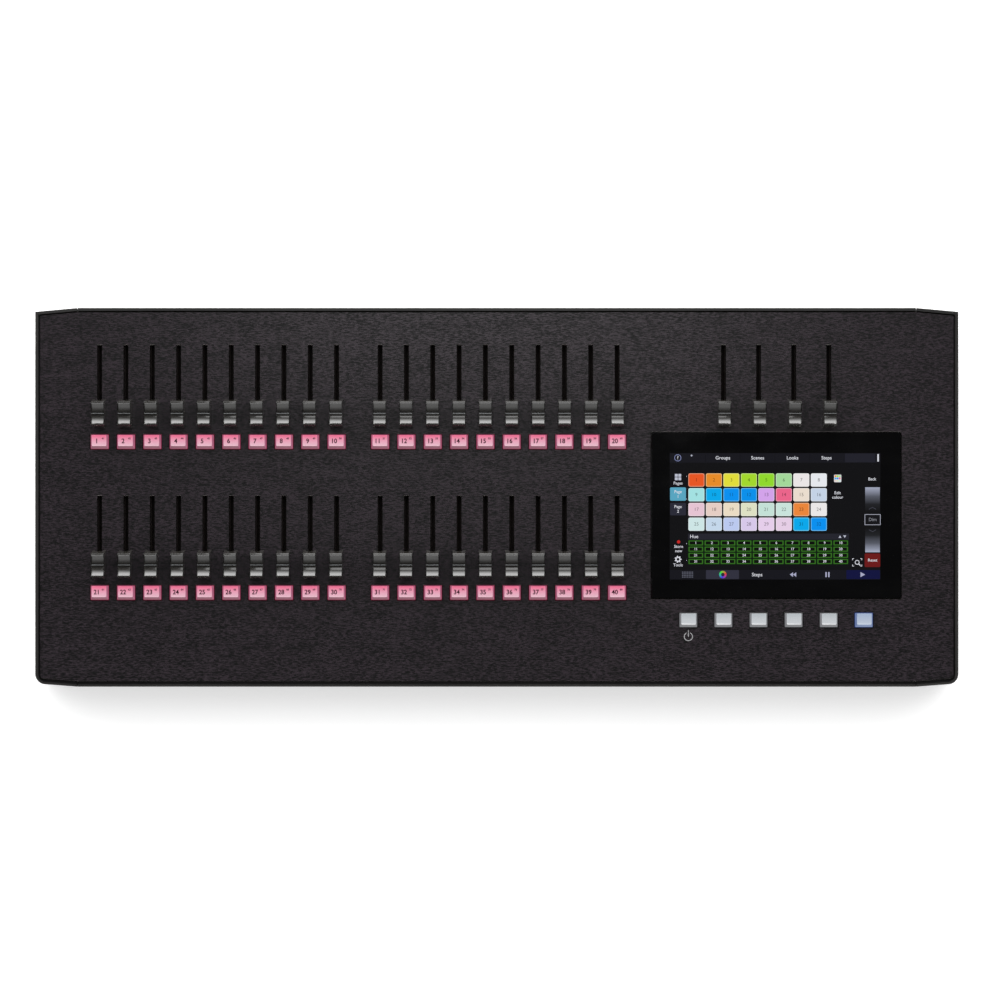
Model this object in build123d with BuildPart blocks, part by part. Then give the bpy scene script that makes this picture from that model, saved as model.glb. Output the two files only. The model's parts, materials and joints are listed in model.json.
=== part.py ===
from build123d import *
from math import cos, radians, sin
import os

# Lighting control desk with forty channel faders, four master faders, lit keys and a touch screen.
#
# Units are millimetres. +X is to the operator's right, +Y to the rear and +Z up. The origin is on
# the surface the desk stands on, under the middle of the case. Heights called h are measured from
# the deck's top surface, at right angles to it; x and y on the deck run right and up the slope.

os.makedirs("parts", exist_ok=True)

# ---------------------------------------------------------------- case
CASE_WIDTH = 668.0
CASE_DEPTH = 274.0          # along the slope
DECK_SLOPE = 10.0           # degrees
FRONT_HEIGHT = 30.0         # top of the front rim above the table
FOOT_HEIGHT = 3.0
FOOT_RADIUS = 8.0
FOOT_TAPER = 12.0
FOOT_SPREAD = (560.0, 210.0)
SEAM_X = 303.4              # end caps meet the chassis here
SEAM_GAP = 0.6
REAR_TAPER = 2.75           # how far the end caps draw in towards the outer corners
FRONT_TAPER = 2.3
CORNER_RADIUS = 7.5
SIDE_WALL = 2.3
FRONT_WALL = 1.6
REAR_WALL = 2.0
FLOOR = 1.6
BULKHEAD = 1.6
RIM_PROUD = 0.4             # rim above the deck
EDGE_BREAK = 0.5

# ---------------------------------------------------------------- deck panel
PANEL_THICK = 3.0
PANEL_SIDE_INSET = 3.3
PANEL_FRONT_INSET = 3.9
PANEL_REAR_INSET = 2.8
PANEL_CORNER_RADIUS = 3.0
SLOT_BREAK = 0.3
LEDGE_WIDTH = 9.0
LEDGE_THICK = 1.6
STUD_RADIUS = 2.0
STUD_LENGTH = 8.0
STUD_GAP = 0.3
STUD_XS = (-270.0, -100.2, 103.0, 280.0)
STUD_FROM_FRONT = 5.5       # from the front wall's inner face
STUD_FROM_REAR = 6.0        # from the rear wall's inner face
NUT_ACROSS = 7.0
NUT_THICK = 3.2
NUT_CLEARANCE = 0.05

# ---------------------------------------------------------------- channels
PITCH = 19.05
CHANNELS_PER_BANK = 10
CHANNELS_PER_ROW = 20
FIRST_X = -287.4
BANK_STEP = 202.95          # from one bank's first channel to the next bank's
ROW_STEP = 109.2
MASTER_PITCH = 25.4
SCREEN_X = 202.1            # masters, screen and its keys share this centre

# ---------------------------------------------------------------- faders
TRAVEL = 45.0
SLOT_WIDTH = 3.0
SLOT_LENGTH = 54.6
SLOT_Y = 83.0               # middle of the rear row's slots
CAP_WIDTH = 9.8
CAP_LENGTH = 21.2
CAP_TOP_LENGTH = 16.3
CAP_FOOT_H = 1.0
CAP_END_H = 12.6
CAP_DIP_H = 8.8
CAP_SIDE_DRAFT = 0.35
CAP_ARCH_RADIUS = 3.1
CAP_ARCH_SPRING_H = 1.6
CAP_LINE_WIDTH = 0.9
CAP_GROOVE_WIDTH = 0.6
CAP_GROOVE_DEPTH = 0.5
LEVER_THICK = 1.2
LEVER_LENGTH = 7.0
LEVER_TOP_H = 7.4
HOUSING_WIDTH = 9.0
HOUSING_LENGTH = 62.0
HOUSING_TOP_H = -5.4
HOUSING_WALL = 0.8
HOUSING_SLOT_WIDTH = 1.8
CARRIAGE_WIDTH = 6.6
CARRIAGE_LENGTH = 9.0
CARRIAGE_HEIGHT = 4.2
CARRIAGE_TOP_H = -6.6

# ---------------------------------------------------------------- keys
KEY_TO_SLOT = 42.8          # from a slot's middle down to its key
KEY_WIDTH = 12.5
KEY_DEPTH = 10.0
KEY_TOP_WIDTH = 11.4
KEY_TOP_DEPTH = 8.8
KEY_PROUD = 2.6
KEY_SHOULDER_H = 0.2
KEY_OPENING_WIDTH = 13.4
KEY_OPENING_DEPTH = 10.8
KEY_FLANGE_H = -4.0
KEY_FLANGE_THICK = 1.0
KEY_FLANGE_MARGIN = 1.1
KEY_STEM = 4.0
KEY_STEM_END_H = -6.2
SWITCH_SIZE = 6.2
SWITCH_HEIGHT = 4.0
SCREEN_KEYS = 6
SCREEN_KEY_Y = -88.8

# ---------------------------------------------------------------- touch screen
GLASS_WIDTH = 180.5
GLASS_DEPTH = 120.0
GLASS_THICK = 1.8
GLASS_Y = -13.05
GLASS_GAP = 0.35
GLASS_CORNER = 1.2
DISPLAY_WIDTH = 165.0
DISPLAY_DEPTH = 100.0
DISPLAY_THICK = 5.7
DISPLAY_GAP = 1.0
DRIVER_BOARD = (90.0, 40.0, 1.6)

# ---------------------------------------------------------------- boards
BOARD_TOP_H = -12.0
BOARD_THICK = 1.6
POST_RADIUS = 3.0
CHANNEL_POST_XS = (-297.0, -100.2, 97.0)
CHANNEL_POST_YS = (110.0, 20.0, -80.0)
MASTER_POST_YS = (52.0, 114.0)
SCREW_RADIUS = 1.5
SCREW_HOLE = 1.6
SCREW_HEAD_RADIUS = 2.75
SCREW_HEAD_HEIGHT = 2.0
SCREW_LENGTH = 6.0
CAP_SCREW_LENGTH = 9.0
SUNK_SCREW_CLEARANCE = 0.1   # round the outlets' countersunk screws
CHANNEL_BOARD = (402.0, 206.0)
CHANNEL_BOARD_XY = (-99.0, 17.0)
MASTER_BOARD = (104.0, 74.0)
KEY_BOARD = (156.0, 19.0)
MAIN_BOARD = (160.0, 84.0)
MAIN_BOARD_X = 180.0
MAIN_BOARD_Z = 12.0
MAIN_BOARD_Y = 88.0
MAIN_POST_SPREAD = (148.0, 60.0)
HEAT_SINK = (44.0, 40.0)
HEAT_SINK_XY = (168.0, 70.0)
HEAT_SINK_BASE = 4.0
FIN_COUNT = 9
FIN_THICK = 1.6
FIN_HEIGHT = 8.0

# ---------------------------------------------------------------- rear sockets
OUTLET_XS = (84.0, 48.0)
OUTLET_Z = 36.0
OUTLET_FLANGE = (26.0, 31.0, 2.0)
OUTLET_NOSE_RADIUS = 11.9
OUTLET_HOLE_RADIUS = 12.1
OUTLET_DEPTH = 22.0
OUTLET_SHELL_RADIUS = 9.8
OUTLET_CORE_RADIUS = 7.9
OUTLET_RING_DEPTH = 12.0
OUTLET_CONTACT_RADIUS = 1.2
OUTLET_CONTACT_CIRCLE = 4.7
OUTLET_CONTACTS = 5
OUTLET_CONTACT_DEPTH = 8.0
OUTLET_SCREW_X = 9.5
OUTLET_SCREW_Z = 12.0
NETWORK_X = 140.0
NETWORK_BODY = (16.0, 13.6, 21.0)
NETWORK_MOUTH = (11.8, 8.2, 14.0)
USB_XS = (172.0, 194.0)
USB_BODY = (14.0, 6.8, 18.0)
USB_MOUTH = (12.4, 5.0, 12.0)
USB_TONGUE = (11.0, 1.8)
USB_TONGUE_RISE = 0.6
TIP_SET_BACK = 1.0           # tongues and pins end this far inside their mouths
POWER_X = 232.0
POWER_BODY = (14.0, 12.0, 16.0)
POWER_MOUTH_RADIUS = 4.0
POWER_MOUTH_DEPTH = 10.0
POWER_PIN_RADIUS = 1.1
LOCK_SLOT = (7.0, 3.0)
LOCK_XZ = (-262.0, 30.0)
VENT_COUNT = 16
VENT_PITCH = 7.0
VENT_SIZE = (2.6, 24.0)
VENT_XZ = (-130.0, 42.0)
PORT_GAP = 0.3
BOSS_WIDTH = 10.0
BOSS_DEPTH = 12.0

# ---------------------------------------------------------------- planes and places
SLOPE = radians(DECK_SLOPE)
RIM_Z = FRONT_HEIGHT + CASE_DEPTH / 2 * sin(SLOPE)
rim = Plane(origin=(0, 0, RIM_Z), x_dir=(1, 0, 0), z_dir=(0, -sin(SLOPE), cos(SLOPE)))
deck = rim.offset(-RIM_PROUD)
REAR_Y = CASE_DEPTH / 2 * cos(SLOPE)
rear = Plane(origin=(0, REAR_Y, 0), x_dir=(-1, 0, 0), z_dir=(0, 1, 0))

CHANNEL_XS = []
for channel in range(CHANNELS_PER_ROW):
    bank, place = divmod(channel, CHANNELS_PER_BANK)
    CHANNEL_XS.append(FIRST_X + bank * BANK_STEP + place * PITCH)
ROW_YS = (SLOT_Y, SLOT_Y - ROW_STEP)
CHANNEL_SLOTS = [(x, y) for y in ROW_YS for x in CHANNEL_XS]
MASTER_SLOTS = [(SCREEN_X + (i - 1.5) * MASTER_PITCH, SLOT_Y) for i in range(4)]
ALL_SLOTS = CHANNEL_SLOTS + MASTER_SLOTS
CHANNEL_KEYS = [(x, y - KEY_TO_SLOT) for x, y in CHANNEL_SLOTS]
SCREEN_KEY_XS = [SCREEN_X + (i - 2.5) * MASTER_PITCH for i in range(SCREEN_KEYS)]
SCREEN_KEY_PLACES = [(x, SCREEN_KEY_Y) for x in SCREEN_KEY_XS]
ALL_KEYS = CHANNEL_KEYS + SCREEN_KEY_PLACES

CHANNEL_POSTS = [(x, y) for x in CHANNEL_POST_XS for y in CHANNEL_POST_YS]
MASTER_POSTS = [(SCREEN_X + x, y) for x in (-MASTER_PITCH, MASTER_PITCH) for y in MASTER_POST_YS]
KEY_POSTS = [(SCREEN_X + x, SCREEN_KEY_Y) for x in (-2 * MASTER_PITCH, 2 * MASTER_PITCH)]
BOARD_POSTS = CHANNEL_POSTS + MASTER_POSTS + KEY_POSTS

BOARD_LEVEL_Z = MAIN_BOARD_Z + BOARD_THICK
NETWORK_Z = BOARD_LEVEL_Z + NETWORK_BODY[1] / 2
USB_Z = BOARD_LEVEL_Z + USB_BODY[1] / 2
POWER_Z = BOARD_LEVEL_Z + POWER_BODY[1] / 2
MAIN_POSTS = [
    (MAIN_BOARD_X + x * MAIN_POST_SPREAD[0] / 2, MAIN_BOARD_Y + y * MAIN_POST_SPREAD[1] / 2)
    for x in (-1, 1)
    for y in (-1, 1)
]
OUTLET_SCREWS = [
    (x + side * OUTLET_SCREW_X, OUTLET_Z + side * OUTLET_SCREW_Z)
    for x in OUTLET_XS
    for side in (-1, 1)
]

STUD_Y_FRONT = -CASE_DEPTH / 2 + FRONT_WALL + STUD_FROM_FRONT
STUD_Y_REAR = CASE_DEPTH / 2 - REAR_WALL - STUD_FROM_REAR
STUDS = [(x, y) for x in STUD_XS for y in (STUD_Y_FRONT, STUD_Y_REAR)]
CAP_SCREWS = [(-100.0, 12.0), (0.0, 14.0), (110.0, 16.0)]   # y, height over the table


def on_deck(x, y, h):
    """The plane parallel to the deck through the deck point x, y at height h."""
    return Plane(origin=deck.from_local_coords((x, y, h)), x_dir=deck.x_dir, z_dir=deck.z_dir)


def case_block(side, front, back, bottom, edge=0.0):
    """The case's closed outer form, drawn in by the walls side, front and back, from bottom up."""
    half = CASE_WIDTH / 2 - side
    taper = (half - SEAM_X) / (CASE_WIDTH / 2 - SEAM_X)
    front_y = -CASE_DEPTH / 2 + front
    front_end = front_y + FRONT_TAPER * taper
    rear_y = REAR_Y - back
    rear_end = rear_y - REAR_TAPER * taper
    with BuildPart() as block:
        with BuildSketch(rim) as plan:
            with BuildLine():
                Polyline(
                    (-half, front_end), (-SEAM_X, front_y), (SEAM_X, front_y), (half, front_end),
                    (half, CASE_DEPTH), (-half, CASE_DEPTH), close=True,
                )
            make_face()
            front_corners = [v for v in plan.vertices() if abs(v.Y - front_end) < EDGE_BREAK]
            fillet(front_corners, radius=CORNER_RADIUS - side)
        extrude(amount=-CASE_DEPTH)
        with BuildSketch(Plane.XY.offset(bottom)):
            with BuildLine():
                Polyline(
                    (-half, rear_end), (-SEAM_X, rear_y), (SEAM_X, rear_y), (half, rear_end),
                    (half, -CASE_DEPTH), (-half, -CASE_DEPTH), close=True,
                )
            make_face()
        extrude(amount=CASE_DEPTH, mode=Mode.INTERSECT)
        if edge:
            top_edges = block.faces().filter_by(rim).sort_by(Axis.Z)[-1].edges()
            chamfer(top_edges.filter_by_position(Axis.Y, -REAR_Y, REAR_Y / 2), length=edge)
            chamfer(block.faces().sort_by(Axis.Z)[0].edges(), length=edge)
    return block.part


def finish(piece, name):
    """Label the finished piece and write its STEP file."""
    piece.part.label = name
    export_step(piece.part, f"parts/{name}.step")


def finish_group(pieces, name):
    """Write several finished pieces as one labelled group in one STEP file."""
    group = Compound(label=name, children=[piece.part for piece in pieces])
    export_step(group, f"parts/{name}.step")


# ---------------------------------------------------------------- case forms
outer_form = case_block(0, 0, 0, FOOT_HEIGHT, edge=EDGE_BREAK)
inner_form = case_block(SIDE_WALL, FRONT_WALL, REAR_WALL, FOOT_HEIGHT + FLOOR)
LEDGE_H = -PANEL_THICK

with BuildPart() as hollow_form:
    add(inner_form)
    # ledges along the front, the rear and the two sides carry the deck panel
    with BuildSketch(on_deck(0, 0, LEDGE_H)):
        Rectangle(CASE_WIDTH, CASE_DEPTH)
        Rectangle(
            CASE_WIDTH - 2 * (SIDE_WALL + LEDGE_WIDTH),
            CASE_DEPTH - 2 * (REAR_WALL + LEDGE_WIDTH),
            mode=Mode.SUBTRACT,
        )
    extrude(amount=-LEDGE_THICK, mode=Mode.SUBTRACT)

# the space that the deck panel lies in, over the ledges and the bulkheads
with BuildPart() as panel_space:
    add(inner_form)
    with BuildSketch(on_deck(0, 0, LEDGE_H)):
        Rectangle(2 * CASE_WIDTH, 2 * CASE_DEPTH)
    extrude(amount=PANEL_THICK + 2 * RIM_PROUD, mode=Mode.INTERSECT)

# the space inside the chassis, between its two bulkheads
with BuildPart() as tray_space:
    add(hollow_form.part)
    Box(2 * (SEAM_X - BULKHEAD), 2 * CASE_DEPTH, 2 * CASE_DEPTH, mode=Mode.INTERSECT)

# ---------------------------------------------------------------- chassis
with BuildPart() as chassis:
    add(outer_form)
    Box(2 * SEAM_X - SEAM_GAP, 2 * CASE_DEPTH, 2 * CASE_DEPTH, mode=Mode.INTERSECT)
    add(tray_space.part, mode=Mode.SUBTRACT)
    add(panel_space.part, mode=Mode.SUBTRACT)
    # the rear wall's openings for the sockets, the lock slot and the vents
    with BuildSketch(rear):
        with Locations([(-x, OUTLET_Z) for x in OUTLET_XS]):
            Circle(OUTLET_HOLE_RADIUS)
        with Locations((-NETWORK_X, NETWORK_Z)):
            Rectangle(NETWORK_BODY[0] + 2 * PORT_GAP, NETWORK_BODY[1] + 2 * PORT_GAP)
        with Locations([(-x, USB_Z) for x in USB_XS]):
            Rectangle(USB_BODY[0] + 2 * PORT_GAP, USB_BODY[1] + 2 * PORT_GAP)
        with Locations((-POWER_X, POWER_Z)):
            Rectangle(POWER_BODY[0] + 2 * PORT_GAP, POWER_BODY[1] + 2 * PORT_GAP)
        with Locations((-LOCK_XZ[0], LOCK_XZ[1])):
            Rectangle(*LOCK_SLOT)
        with Locations((-VENT_XZ[0], VENT_XZ[1])):
            with GridLocations(VENT_PITCH, 0, VENT_COUNT, 1):
                SlotOverall(VENT_SIZE[1], VENT_SIZE[0], rotation=90)
    extrude(amount=-REAR_WALL, mode=Mode.SUBTRACT)
    # countersunk holes for the outlets' screws
    with Locations([Plane(origin=(x, REAR_Y, z), z_dir=(0, 1, 0)) for x, z in OUTLET_SCREWS]):
        CounterSinkHole(SCREW_HOLE, SCREW_HEAD_RADIUS, depth=REAR_WALL, counter_sink_angle=90)
    # holes for the deck's studs in the front and rear ledges
    with BuildSketch(on_deck(0, 0, LEDGE_H)):
        with Locations(STUDS):
            Circle(STUD_RADIUS + STUD_GAP)
    extrude(amount=-LEDGE_THICK, mode=Mode.SUBTRACT)
    # holes for the end caps' screws in the two bulkheads
    with BuildSketch(Plane.YZ.offset(-SEAM_X)):
        with Locations(CAP_SCREWS):
            Circle(SCREW_HOLE)
    extrude(amount=2 * SEAM_X, mode=Mode.SUBTRACT)
    # posts for the main board
    with BuildSketch(Plane.XY.offset(FOOT_HEIGHT + FLOOR)):
        with Locations(MAIN_POSTS):
            Circle(POST_RADIUS)
            Circle(SCREW_HOLE, mode=Mode.SUBTRACT)
    extrude(amount=MAIN_BOARD_Z - FOOT_HEIGHT - FLOOR)
finish(chassis, "chassis")


# ---------------------------------------------------------------- end caps
def make_end_cap(name, side):
    """The hollow end piece on side -1 (left) or +1 (right), with bosses for its screws."""
    seam = side * (SEAM_X + SEAM_GAP / 2)
    outside = abs(seam) + CASE_WIDTH / 2
    with BuildPart() as cap:
        add(outer_form)
        add(hollow_form.part, mode=Mode.SUBTRACT)
        for y, z in CAP_SCREWS:
            boss_height = z + BOSS_WIDTH / 2 - FOOT_HEIGHT
            with BuildSketch(Plane.YZ.offset(seam)):
                with Locations((y, FOOT_HEIGHT + boss_height / 2)):
                    Rectangle(BOSS_WIDTH, boss_height)
            extrude(amount=side * BOSS_DEPTH)
        with BuildSketch(Plane.YZ.offset(seam)):
            with Locations(CAP_SCREWS):
                Circle(SCREW_HOLE)
        extrude(amount=side * (BOSS_DEPTH - FLOOR), mode=Mode.SUBTRACT)
        with Locations((side * outside / 2, 0, 0)):
            Box(CASE_WIDTH / 2 - abs(seam), 2 * CASE_DEPTH, 2 * CASE_DEPTH, mode=Mode.INTERSECT)
    finish(cap, name)


make_end_cap("left_end_cap", -1)
make_end_cap("right_end_cap", 1)

# ---------------------------------------------------------------- deck panel
with BuildPart() as top_panel:
    panel_half = CASE_WIDTH / 2 - PANEL_SIDE_INSET
    panel_taper = (panel_half - SEAM_X) / (CASE_WIDTH / 2 - SEAM_X)
    panel_front = -CASE_DEPTH / 2 + PANEL_FRONT_INSET
    panel_rear = CASE_DEPTH / 2 - PANEL_REAR_INSET
    front_end = panel_front + FRONT_TAPER * panel_taper
    rear_end = panel_rear - REAR_TAPER * panel_taper
    with BuildSketch(deck) as outline:
        with BuildLine():
            Polyline(
                (-panel_half, front_end), (-SEAM_X, panel_front), (SEAM_X, panel_front),
                (panel_half, front_end), (panel_half, rear_end), (SEAM_X, panel_rear),
                (-SEAM_X, panel_rear), (-panel_half, rear_end), close=True,
            )
        make_face()
        front_corners = [v for v in outline.vertices() if abs(v.Y - front_end) < EDGE_BREAK]
        fillet(front_corners, radius=PANEL_CORNER_RADIUS)
    extrude(amount=-PANEL_THICK)
    # the fader slots, key openings and the recess that the cover glass lies in
    with BuildSketch(deck):
        with Locations(ALL_SLOTS):
            Rectangle(SLOT_WIDTH, SLOT_LENGTH)
        with Locations(ALL_KEYS):
            Rectangle(KEY_OPENING_WIDTH, KEY_OPENING_DEPTH)
        with Locations((SCREEN_X, GLASS_Y)):
            Rectangle(DISPLAY_WIDTH + 2 * DISPLAY_GAP, DISPLAY_DEPTH + 2 * DISPLAY_GAP)
    extrude(amount=-PANEL_THICK, mode=Mode.SUBTRACT)
    with BuildSketch(deck):
        with Locations((SCREEN_X, GLASS_Y)):
            RectangleRounded(GLASS_WIDTH + 2 * GLASS_GAP, GLASS_DEPTH + 2 * GLASS_GAP, GLASS_CORNER)
    extrude(amount=-GLASS_THICK, mode=Mode.SUBTRACT)
    # every edge of the upper surface is broken, and catches the light
    upper_face = top_panel.faces().filter_by(deck).sort_by(Axis.Z)[-1]
    chamfer(upper_face.edges(), length=SLOT_BREAK)
    # studs for the ledges and posts for the boards underneath
    with BuildSketch(on_deck(0, 0, -PANEL_THICK)):
        with Locations(STUDS):
            Circle(STUD_RADIUS)
    extrude(amount=-STUD_LENGTH)
    with BuildSketch(on_deck(0, 0, -PANEL_THICK)):
        with Locations(BOARD_POSTS):
            Circle(POST_RADIUS)
    extrude(amount=BOARD_TOP_H + PANEL_THICK)
    with BuildSketch(on_deck(0, 0, BOARD_TOP_H)):
        with Locations(BOARD_POSTS):
            Circle(SCREW_HOLE)
    extrude(amount=SCREW_LENGTH, mode=Mode.SUBTRACT)
finish(top_panel, "top_panel")

# ---------------------------------------------------------------- touch screen
with BuildPart() as touch_glass:
    with BuildSketch(on_deck(SCREEN_X, GLASS_Y, 0)):
        RectangleRounded(GLASS_WIDTH, GLASS_DEPTH, GLASS_CORNER)
    extrude(amount=-GLASS_THICK)
    chamfer(touch_glass.faces().filter_by(deck).sort_by(Axis.Z)[-1].edges(), length=SLOT_BREAK)
finish(touch_glass, "touch_glass")

with BuildPart() as display_module:
    with BuildSketch(on_deck(SCREEN_X, GLASS_Y, -GLASS_THICK)):
        Rectangle(DISPLAY_WIDTH, DISPLAY_DEPTH)
    extrude(amount=-DISPLAY_THICK)
    # the driver board on the module's back
    with BuildSketch(on_deck(SCREEN_X, GLASS_Y, -GLASS_THICK - DISPLAY_THICK)):
        Rectangle(DRIVER_BOARD[0], DRIVER_BOARD[1])
    extrude(amount=-DRIVER_BOARD[2])
finish(display_module, "display_module")


# ---------------------------------------------------------------- faders
def make_fader(name, x, y):
    """One fader at the bottom of its travel: its cap and the lever with the wiper carriage."""
    middle = y - TRAVEL / 2
    side_view = Plane(
        origin=deck.from_local_coords((x, middle, 0)), x_dir=deck.y_dir, z_dir=deck.x_dir
    )
    end_view = Plane(
        origin=deck.from_local_coords((x, middle, 0)), x_dir=deck.x_dir, z_dir=-deck.y_dir
    )
    foot, top = CAP_LENGTH / 2, CAP_TOP_LENGTH / 2
    with BuildPart() as cap:
        # seen from the side: sloping ends and a finger dip between them
        with BuildSketch(side_view):
            with BuildLine():
                Polyline((-top, CAP_END_H), (-foot, CAP_FOOT_H), (foot, CAP_FOOT_H), (top, CAP_END_H))
                ThreePointArc((top, CAP_END_H), (0, CAP_DIP_H), (-top, CAP_END_H))
            make_face()
        extrude(amount=CAP_WIDTH / 2, both=True)
        # seen from the front: sides that lean in a little, and the arch through the skirt
        with BuildSketch(end_view):
            with BuildLine():
                Polyline(
                    (-CAP_WIDTH / 2, CAP_FOOT_H), (CAP_WIDTH / 2, CAP_FOOT_H),
                    (CAP_WIDTH / 2 - CAP_SIDE_DRAFT, CAP_END_H),
                    (-CAP_WIDTH / 2 + CAP_SIDE_DRAFT, CAP_END_H), close=True,
                )
            make_face()
            with Locations((0, CAP_ARCH_SPRING_H)):
                Circle(CAP_ARCH_RADIUS, mode=Mode.SUBTRACT)
        extrude(amount=foot, both=True, mode=Mode.INTERSECT)
        # two grooves leave the index line standing across the dip
        groove = (CAP_LINE_WIDTH + CAP_GROOVE_WIDTH) / 2
        with BuildSketch(side_view):
            with Locations((-groove, CAP_DIP_H), (groove, CAP_DIP_H)):
                Rectangle(CAP_GROOVE_WIDTH, 2 * CAP_GROOVE_DEPTH)
        extrude(amount=CAP_WIDTH / 2, both=True, mode=Mode.SUBTRACT)
        # the socket for the lever
        with BuildSketch(on_deck(x, middle, CAP_FOOT_H)):
            Rectangle(LEVER_THICK, LEVER_LENGTH)
        extrude(amount=LEVER_TOP_H - CAP_FOOT_H, mode=Mode.SUBTRACT)
    with BuildPart() as lever:
        with BuildSketch(on_deck(x, middle, CARRIAGE_TOP_H)):
            Rectangle(CARRIAGE_WIDTH, CARRIAGE_LENGTH)
        extrude(amount=-CARRIAGE_HEIGHT)
        with BuildSketch(on_deck(x, middle, CARRIAGE_TOP_H)):
            Rectangle(LEVER_THICK, LEVER_LENGTH)
        extrude(amount=LEVER_TOP_H - CARRIAGE_TOP_H)
    finish_group([cap, lever], name)


for number, (x, y) in enumerate(CHANNEL_SLOTS, start=1):
    make_fader(f"fader_{number:02d}", x, y)
for number, (x, y) in enumerate(MASTER_SLOTS, start=1):
    make_fader(f"master_fader_{number}", x, y)

# ---------------------------------------------------------------- fader housings
with BuildPart() as fader_housings:
    with BuildSketch(on_deck(0, 0, BOARD_TOP_H)):
        with Locations(ALL_SLOTS):
            Rectangle(HOUSING_WIDTH, HOUSING_LENGTH)
    extrude(amount=HOUSING_TOP_H - BOARD_TOP_H)
    with BuildSketch(on_deck(0, 0, BOARD_TOP_H + HOUSING_WALL)):
        with Locations(ALL_SLOTS):
            Rectangle(HOUSING_WIDTH - 2 * HOUSING_WALL, HOUSING_LENGTH - 2 * HOUSING_WALL)
    extrude(amount=HOUSING_TOP_H - BOARD_TOP_H - 2 * HOUSING_WALL, mode=Mode.SUBTRACT)
    with BuildSketch(on_deck(0, 0, HOUSING_TOP_H)):
        with Locations(ALL_SLOTS):
            Rectangle(HOUSING_SLOT_WIDTH, SLOT_LENGTH)
    extrude(amount=-HOUSING_WALL, mode=Mode.SUBTRACT)
finish(fader_housings, "fader_housings")


# ---------------------------------------------------------------- keys
def make_keys(name, places):
    """Lit keycaps, each with a retaining flange under the deck and a stem over its switch."""
    with BuildPart() as keys:
        with BuildSketch(on_deck(0, 0, KEY_FLANGE_H - KEY_FLANGE_THICK)):
            with Locations(places):
                Rectangle(KEY_WIDTH + 2 * KEY_FLANGE_MARGIN, KEY_DEPTH + 2 * KEY_FLANGE_MARGIN)
        extrude(amount=KEY_FLANGE_THICK)
        with BuildSketch(on_deck(0, 0, KEY_FLANGE_H)):
            with Locations(places):
                Rectangle(KEY_WIDTH, KEY_DEPTH)
        extrude(amount=KEY_SHOULDER_H - KEY_FLANGE_H)
        for x, y in places:
            with BuildSketch(on_deck(x, y, KEY_SHOULDER_H)):
                Rectangle(KEY_WIDTH, KEY_DEPTH)
            with BuildSketch(on_deck(x, y, KEY_PROUD)):
                Rectangle(KEY_TOP_WIDTH, KEY_TOP_DEPTH)
            loft(ruled=True)
        with BuildSketch(on_deck(0, 0, KEY_STEM_END_H)):
            with Locations(places):
                Rectangle(KEY_STEM, KEY_STEM)
        extrude(amount=KEY_FLANGE_H - KEY_FLANGE_THICK - KEY_STEM_END_H)
    finish(keys, name)


make_keys("channel_keys", CHANNEL_KEYS)
make_keys("screen_keys", SCREEN_KEY_PLACES)

# ---------------------------------------------------------------- control boards
with BuildPart() as boards:
    with BuildSketch(on_deck(0, 0, BOARD_TOP_H)):
        with Locations(CHANNEL_BOARD_XY):
            Rectangle(*CHANNEL_BOARD)
        with Locations((SCREEN_X, SLOT_Y)):
            Rectangle(*MASTER_BOARD)
        with Locations((SCREEN_X, SCREEN_KEY_Y)):
            Rectangle(*KEY_BOARD)
        with Locations(BOARD_POSTS):
            Circle(SCREW_HOLE, mode=Mode.SUBTRACT)
    extrude(amount=-BOARD_THICK)
with BuildPart() as switches:
    with BuildSketch(on_deck(0, 0, BOARD_TOP_H)):
        with Locations(ALL_KEYS):
            Rectangle(SWITCH_SIZE, SWITCH_SIZE)
    extrude(amount=SWITCH_HEIGHT)
finish_group([boards, switches], "control_boards")

# ---------------------------------------------------------------- main board
with BuildPart() as main_plate:
    with BuildSketch(Plane.XY.offset(MAIN_BOARD_Z)):
        with Locations((MAIN_BOARD_X, MAIN_BOARD_Y)):
            Rectangle(*MAIN_BOARD)
        with Locations(MAIN_POSTS):
            Circle(SCREW_HOLE, mode=Mode.SUBTRACT)
    extrude(amount=BOARD_THICK)
with BuildPart() as heat_sink:
    with BuildSketch(Plane.XY.offset(BOARD_LEVEL_Z)):
        with Locations(HEAT_SINK_XY):
            Rectangle(*HEAT_SINK)
    extrude(amount=HEAT_SINK_BASE)
    with BuildSketch(Plane.XY.offset(BOARD_LEVEL_Z + HEAT_SINK_BASE)):
        with Locations(HEAT_SINK_XY):
            with GridLocations(HEAT_SINK[0] / FIN_COUNT, 0, FIN_COUNT, 1):
                Rectangle(FIN_THICK, HEAT_SINK[1])
    extrude(amount=FIN_HEIGHT)
finish_group([main_plate, heat_sink], "main_board")

# ---------------------------------------------------------------- lighting-data outlets
OUTLET_PLACES = [(-x, OUTLET_Z) for x in OUTLET_XS]

# the shell with its flange, open at the rear to take a plug's own shell
with BuildPart() as outlet_shells:
    with BuildSketch(rear.offset(-REAR_WALL)):
        with Locations(OUTLET_PLACES):
            Rectangle(OUTLET_FLANGE[0], OUTLET_FLANGE[1])
        with Locations([(-x, z) for x, z in OUTLET_SCREWS]):
            Circle(SCREW_HOLE, mode=Mode.SUBTRACT)
    extrude(amount=-OUTLET_FLANGE[2])
    with BuildSketch(rear):
        with Locations(OUTLET_PLACES):
            Circle(OUTLET_NOSE_RADIUS)
    extrude(amount=-OUTLET_DEPTH)
    with BuildSketch(rear):
        with Locations(OUTLET_PLACES):
            Circle(OUTLET_SHELL_RADIUS)
    extrude(amount=-OUTLET_RING_DEPTH, mode=Mode.SUBTRACT)
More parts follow.
